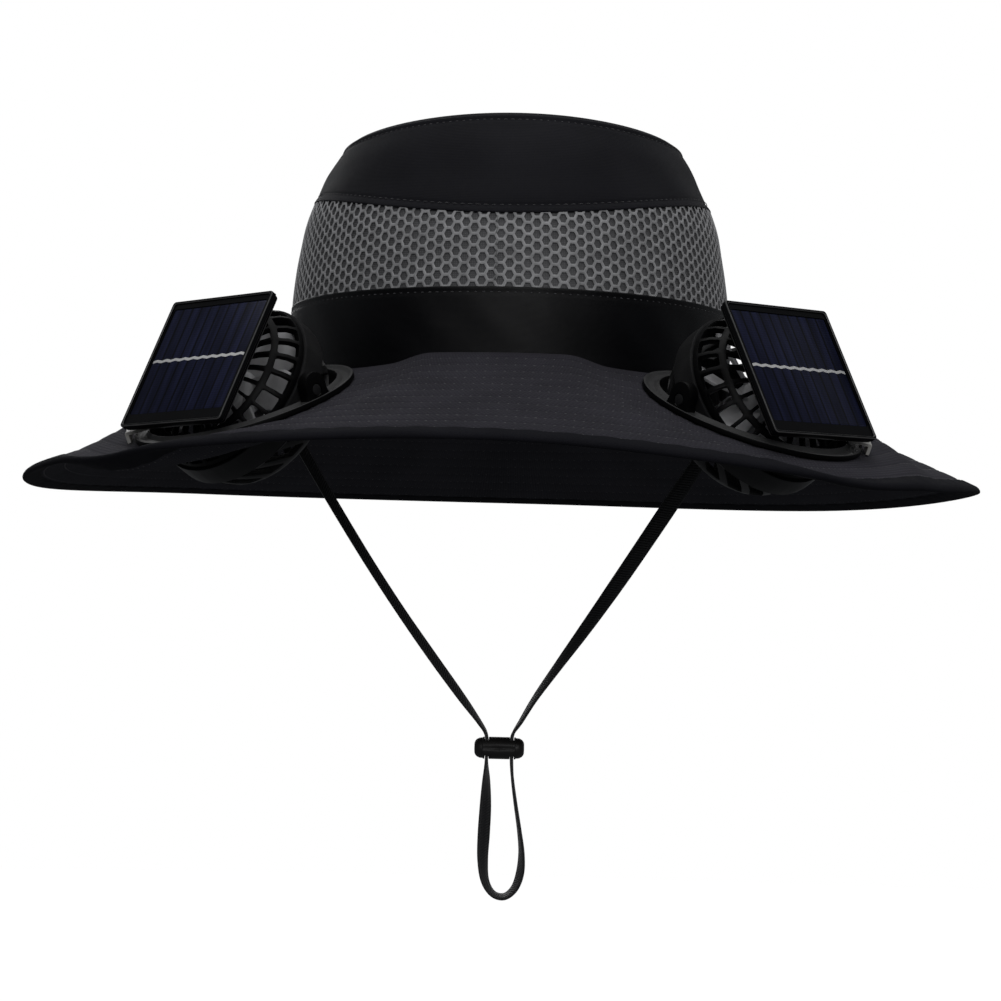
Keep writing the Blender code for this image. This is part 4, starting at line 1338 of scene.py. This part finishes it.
def makeBaseRing():
    top = -fanPlace["seat"]
    under = top - fanPlace["flangeWall"]
    edge, bore = fanPlace["flangeRadius"], fanBase["bore"]
    collar = bore + fanBase["collarWall"]
    lip, rim = top + fanBase["lipRise"], top + fanBase["collarRim"]
    dish = top - fanBase["dishDepth"]
    bottom = seatLevel - hat["brimWall"] - hat["gap"] - fanBase["clampWall"] - fanBase["collarEnd"]
    inner, flat = edge - fanBase["lipWidth"], edge - fanBase["dishWidth"]
    soft = 0.0003
    profile = [
        (edge - soft, under), (edge, under + soft), (edge, lip - soft),
        (edge - soft * 0.3, lip - soft * 0.3), (edge - soft, lip), (inner + soft, lip),
        (inner, lip - soft * 0.4), (flat + soft, dish + soft * 0.3), (flat - soft, dish),
        (collar + soft, dish), (collar, dish + soft), (bore + soft * 1.4, rim - soft * 0.2),
        (bore + soft * 0.7, rim), (bore, rim - soft), (bore, bottom + soft),
        (bore + soft, bottom), (collar - soft, bottom), (collar, bottom + soft), (collar, under)]
    ring = turnedPiece("baseRing", profile, fanBase["sides"])
    for hand in (-1, 1):
        combine(ring, loftedPiece("ear", earLoops(hand)), "UNION")
    combine(ring, crossBar(fanBase["pivotHole"], 0.12, 48))
    fixNormals(ring)
    return ring


def makeClampRing():
    top = seatLevel - hat["brimWall"] - hat["gap"]
    bottom = top - fanBase["clampWall"]
    near = fanBase["bore"] + fanBase["collarWall"] + hat["gap"]
    far = near + fanBase["clampWidth"]
    soft = 0.0004
    profile = [
        (near, bottom + soft * 0.5), (near + soft * 0.5, bottom), (far - soft, bottom),
        (far - soft * 0.3, bottom + soft * 0.3), (far, bottom + soft), (far, top), (near, top)]
    return turnedPiece("clampRing", profile, fanBase["sides"])


def makeTab():
    # a bar held over the lip by a leg that stands outside the flange, drawn along X
    floor = -fanPlace["seat"] + fanBase["lipRise"] + fanBase["tabRise"]
    roof = floor + fanBase["tabWall"]
    under = -fanPlace["seat"] - fanPlace["flangeWall"]
    inner = fanPlace["flangeRadius"] - fanBase["tabInset"]
    outer = fanPlace["flangeRadius"] + fanBase["tabReach"]
    leg = outer - fanBase["tabWall"]
    section = ((inner, floor), (leg, floor), (leg, under), (outer, under), (outer, roof - 0.0006),
               (outer - 0.0002, roof - 0.0002), (outer - 0.0006, roof), (inner, roof))
    half = fanBase["tabWidth"] / 2
    tab = loftedPiece("tab", [[Vector((x, y, z)) for x, z in section] for y in (-half, half)])
    bevelEdges(tab, 0.0003, 3)
    return tab


# Fan heads

frontProfile = (
    # way, radius, height
    (0.000, 0.03305, 0.0048), (0.088, 0.0327, 0.0068), (0.250, 0.0311, 0.0102), (0.425, 0.0284, 0.0132),
    (0.540, 0.0266, 0.0151), (0.760, 0.0220, 0.0169), (1.000, 0.0165, 0.0178),
)

rearProfile = (
    # way, radius, height, from the hub's edge out and up to the top of the smooth band
    (0.000, 0.0097, -0.0190), (0.200, 0.0167, -0.0190), (0.345, 0.0222, -0.0190), (0.425, 0.0254, -0.01805),
    (0.545, 0.0290, -0.0141), (0.660, 0.0309, -0.0098), (0.770, 0.0324, -0.0055), (0.800, 0.0340, -0.0045),
    (1.000, 0.0340, 0.0045),
)


def stretchLengths(profile, stretches):
    # stretches given as shares of the profile's length, turned into metres
    length = sum(math.dist(a[1:], b[1:]) for a, b in zip(profile, profile[1:]))
    return [(share * length, isOpen) for share, isOpen in stretches]


def makeFrontCage():
    lengths = stretchLengths(frontProfile, [
        (0.090, False), (0.335, True), (0.055, False), (0.055, False), (0.435, True), (0.030, False)])
    return piercedShell("frontCage", fanHead["ribs"], fanHead["ribWidth"], frontProfile, lengths,
                        lambda height: 0.0)


def makeRearCage():
    lengths = stretchLengths(rearProfile, [
        (0.030, False), (0.290, True), (0.040, False), (0.040, False), (0.045, False),
        (0.050, False), (0.050, False), (0.215, True), (0.020, False), (0.008, False),
        (0.012, False), *[(0.030, False)] * 6, (0.020, False)])

    def slantAt(height):
        return fanHead["slant"] * smoothStep((-0.0055 - height) / 0.0086)
    cage = piercedShell("rearCage", fanHead["vents"], fanHead["ventBar"], rearProfile, lengths, slantAt)
    start, end = fanHead["radius"] - fanHead["wall"] / 2, fanBase["bore"] + fanBase["earWall"]
    pins = [crossBar(fanHead["pin"], end - start, 40, hand * (start + end) / 2) for hand in (-1, 1)]
    for pin in pins:
        bevelEdges(pin, 0.0003)
    return joinPieces(cage, pins)


def makeMotor():
    floor = -fanHead["back"] + fanHead["wall"] + hat["gap"]
    shaftTop = impeller["middle"] + impeller["hubHeight"] / 2
    can = [(radius, floor + rise) for radius, rise in (
        (0.0078, 0.0), (0.0085, 0.0006), (0.0085, 0.0062), (0.0083, 0.0064), (0.0083, 0.0067),
        (0.0085, 0.0069), (0.0085, 0.0089), (0.0079, 0.0095), (0.0030, 0.0095), (0.0028, 0.0101),
        (0.0015, 0.0101))]
    shaft = [(0.0015, shaftTop - 0.0003), (0.0012, shaftTop)]
    return turnedPiece("motor", can + shaft, 64, closed=False)


def makeImpeller():
    half = impeller["hubHeight"] / 2
    radius, shaftBore = impeller["hubRadius"], 0.0018
    hub = turnedPiece("impeller", [
        (shaftBore, -half), (radius - 0.0003, -half), (radius, -half + 0.0003),
        (radius, half - 0.0022), (radius * 0.93, half - 0.0009), (radius * 0.76, half - 0.0002),
        (radius * 0.5, half), (shaftBore, half)], 64)
    reach = fanHead["cageRadius"] - fanHead["wall"] - impeller["tipClear"]
    root = radius - impeller["wall"]

    def bladePoint(u, v):
        away = root + v * (reach - root)
        chord = impeller["rootChord"] + v * (impeller["tipChord"] - impeller["rootChord"])
        chord *= 1 - 0.35 * max(v - 0.8, 0) / 0.2 * abs(u - 0.5) * 2
        pitch = math.radians(impeller["pitch"] * (1.1 - 0.3 * v))
        along = (u - 0.5) * chord
        camber = 0.0011 * (1 - (2 * u - 1) ** 2) * (0.4 + 0.6 * v)
        side = along * math.cos(pitch) - camber * math.sin(pitch)
        height = along * math.sin(pitch) + camber * math.cos(pitch)
        return turnedSpot(away, side / away, height)
    blade = clothGrid("blade", 14, 16, bladePoint, closed=False)
    applyModifier(blade, "SOLIDIFY", thickness=impeller["wall"], offset=0)
    bevelEdges(blade, 0.0003)
    blades = []
    for step in range(impeller["blades"]):
        copy = addObject("blade", blade.data.copy())
        copy.data.transform(Matrix.Rotation(math.tau * step / impeller["blades"], 4, "Z"))
        blades.append(copy)
    bpy.data.objects.remove(blade)
    joinPieces(hub, blades)
    hub.data.transform(Matrix.Translation((0, 0, impeller["middle"])))
    return hub


# Solar panels

def squareLoop(inset, height, foot=0.0, head=0.0, left=0.0, right=0.0, corner=None):
    # a round-cornered square, cut back by inset all round and by more on each side
    half = panel["size"] / 2 - inset
    corner = max(panel["corner"] - inset, 0.0012) if corner is None else corner
    east, west = half - right - corner, -half + left + corner
    north, south = half - head - corner, -half + foot + corner
    steps = 8
    loop = []
    for x, y, start in ((east, north, 0.0), (west, north, 90.0), (west, south, 180.0), (east, south, 270.0)):
        for step in range(steps + 1):
            turn = math.radians(start + 90.0 * step / steps)
            loop.append(Vector((x + corner * math.cos(turn), y + corner * math.sin(turn), height)))
    return loop


def panelLevels():
    back = fanHead["front"] + hat["gap"] + panel["neckHeight"] + hat["gap"]
    return back, back + panel["wall"]


def borders(clear=0.0):
    border = panel["sideBorder"] + clear
    return {"foot": panel["footBorder"] + clear, "head": panel["headBorder"] + clear,
            "left": border, "right": border}


def makePanelFrame():
    back, front = panelLevels()
    edge, step, bevel = panel["edge"], panel["sideStep"], panel["backBevel"]
    lip, floor = panel["lip"], panel["lipDrop"]
    middle = back + panel["wall"] * 0.45
    opening = borders()
    cells = front - panel["cellsBelow"] - panel["cellsWall"]
    loops = [
        squareLoop(bevel + step, back), squareLoop(bevel * 0.3 + step, back + bevel * 0.3),
        squareLoop(step, back + bevel), squareLoop(step, middle - step),
        squareLoop(0, middle), squareLoop(0, front - edge), squareLoop(edge * 0.3, front - edge * 0.3),
        squareLoop(edge, front), squareLoop(lip - edge * 0.6, front), squareLoop(lip, front - edge * 0.6),
        squareLoop(lip, front - floor), squareLoop(0, front - floor, corner=0.0012, **opening),
        squareLoop(0, cells - hat["gap"], corner=0.0012, **opening)]
    return loftedPiece("panelTray", loops)


def makeCells():
    back, front = panelLevels()
    top = front - panel["cellsBelow"]
    sides = borders(hat["gap"] / 2)
    plate = loftedPiece("cellPlate", [
        squareLoop(0, top - panel["cellsWall"], corner=0.0010, **sides),
        squareLoop(0, top - 0.0001, corner=0.0010, **sides),
        squareLoop(0.0001, top, corner=0.0010, **sides)])
    half = panel["size"] / 2
    low = Vector((-half + sides["left"], -half + sides["foot"]))
    span = Vector((half - sides["right"], half - sides["head"])) - low
    spots = plate.data.uv_layers[0].data
    for loop in plate.data.loops:
        point = plate.data.vertices[loop.vertex_index].co.xy - low
        spots[loop.index].uv = (point.x / span.x, point.y / span.y)
    return plate


def makeNeck():
    bottom = fanHead["front"] + hat["gap"]
    wide, tall = panel["neckRadius"], panel["neckHeight"]
    return turnedPiece("neck", [
        (wide - 0.0003, bottom), (wide, bottom + 0.0003), (wide, bottom + 0.4 * tall),
        (wide * 0.95, bottom + 0.52 * tall), (wide * 0.82, bottom + 0.6 * tall),
        (wide * 0.8, bottom + 0.7 * tall), (wide * 0.8, bottom + tall)], 96, closed=False)


def placeCopy(template, name, place, material, slot, body, replaced):
    piece = addObject(name, template.data.copy())
    piece.data.transform(place)
    smoothShade(piece, 40)
    finishPiece(piece, material, slot, body, replaced)
    return piece


def paintFaces(piece, place, material, test):
    # a second material where the test takes a face's centre and normal on its own axes
    piece.data.materials.append(material)
    back = place.inverted()
    turn = back.to_3x3()
    for face in piece.data.polygons:
        face.material_index = 1 if test(back @ face.center, turn @ face.normal) else 0


def takesPaintedShade(centre, normal):
    # the ears, and the faces that stand up from the flange: these get the darker cage plastic as painted
    # shade
    return centre.z > -fanPlace["seat"] + 0.0012 or normal.z < 0.6


# the tray's bevel faces, which take the lighter plastic as a painted highlight
def isBevelled(centre, normal):
    return 0.25 < abs(normal.z) < 0.97


def makeFans():
    litBasePlastic = plasticMaterial("basePlasticPaintedLight", "litBasePlastic")
    cage = plasticMaterial("cagePlastic", "cage")
    shell = plasticMaterial("shellPlastic", "shell")
    black = plasticMaterial("panelPlastic", "panel")
    bevelHighlight = plasticMaterial("panelBevelPaintedHighlight", "panelBevelHighlight")
    grey = plasticMaterial("impellerPlastic", "impeller")
    pale = plasticMaterial("tabPlastic", "tab")
    metal, silicon = motorMaterial(), cellsMaterial()
    ring, clamp, tab = makeBaseRing(), makeClampRing(), makeTab()
    front, rear, motor, spinner = makeFrontCage(), makeRearCage(), makeMotor(), makeImpeller()
    neck, tray, cells = makeNeck(), makePanelFrame(), makeCells()
    for side, word in ((-1, "left_"), (1, "right_")):
        base, top = baseFrame(side), headFrame(side)
        tabTurn = (0.0 if side > 0 else 180.0) - side * fanBase["tabAngle"]
        outward = base @ Matrix.Rotation(math.radians(tabTurn), 4, "Z")
        head = word + "head"
        copies = {}
        for template, name, place, material, slot, body, node in (
                (ring, "base_flange", base, litBasePlastic, "base_plastic", "root", "base_ring"),
                (clamp, "base_clamp", base, litBasePlastic, "base_plastic", "root", "clamp_ring"),
                (tab, "light_tab", outward, pale, "tab_plastic", "root", "base_tab"),
                (front, "cage_front", top, cage, "cage_plastic", head, "front_cage"),
                (rear, "cage_rear", top, shell, "cage_plastic", head, "rear_cage"),
                (motor, "motor_can", top, metal, "motor_metal", head, "motor"),
                (neck, "panel_mount", top, black, "panel_plastic", head, "panel_neck"),
                (spinner, "fan_wheel", top, grey, "impeller_plastic", word + "impeller", "impeller"),
                (tray, "panel_tray", top, black, "panel_plastic", head, "panel_frame"),
                (cells, "cell_plate", top, silicon, "solar_cells", head, "solar_cells")):
            copies[name] = placeCopy(template, word + name, place, material, slot, body, (word + node,))
        # one moulding in two shades by facing: painted shade on the ears and standing faces, painted light on
        # the faces that look up
        paintFaces(copies["base_flange"], base, cage, takesPaintedShade)
        # the bevels get the lighter plastic as a painted highlight line
        paintFaces(copies["panel_tray"], top, bevelHighlight, isBevelled)
    for spare in (ring, clamp, tab, front, rear, motor, spinner, neck, tray, cells):
        bpy.data.objects.remove(spare)


makeFans()
print("fans made")
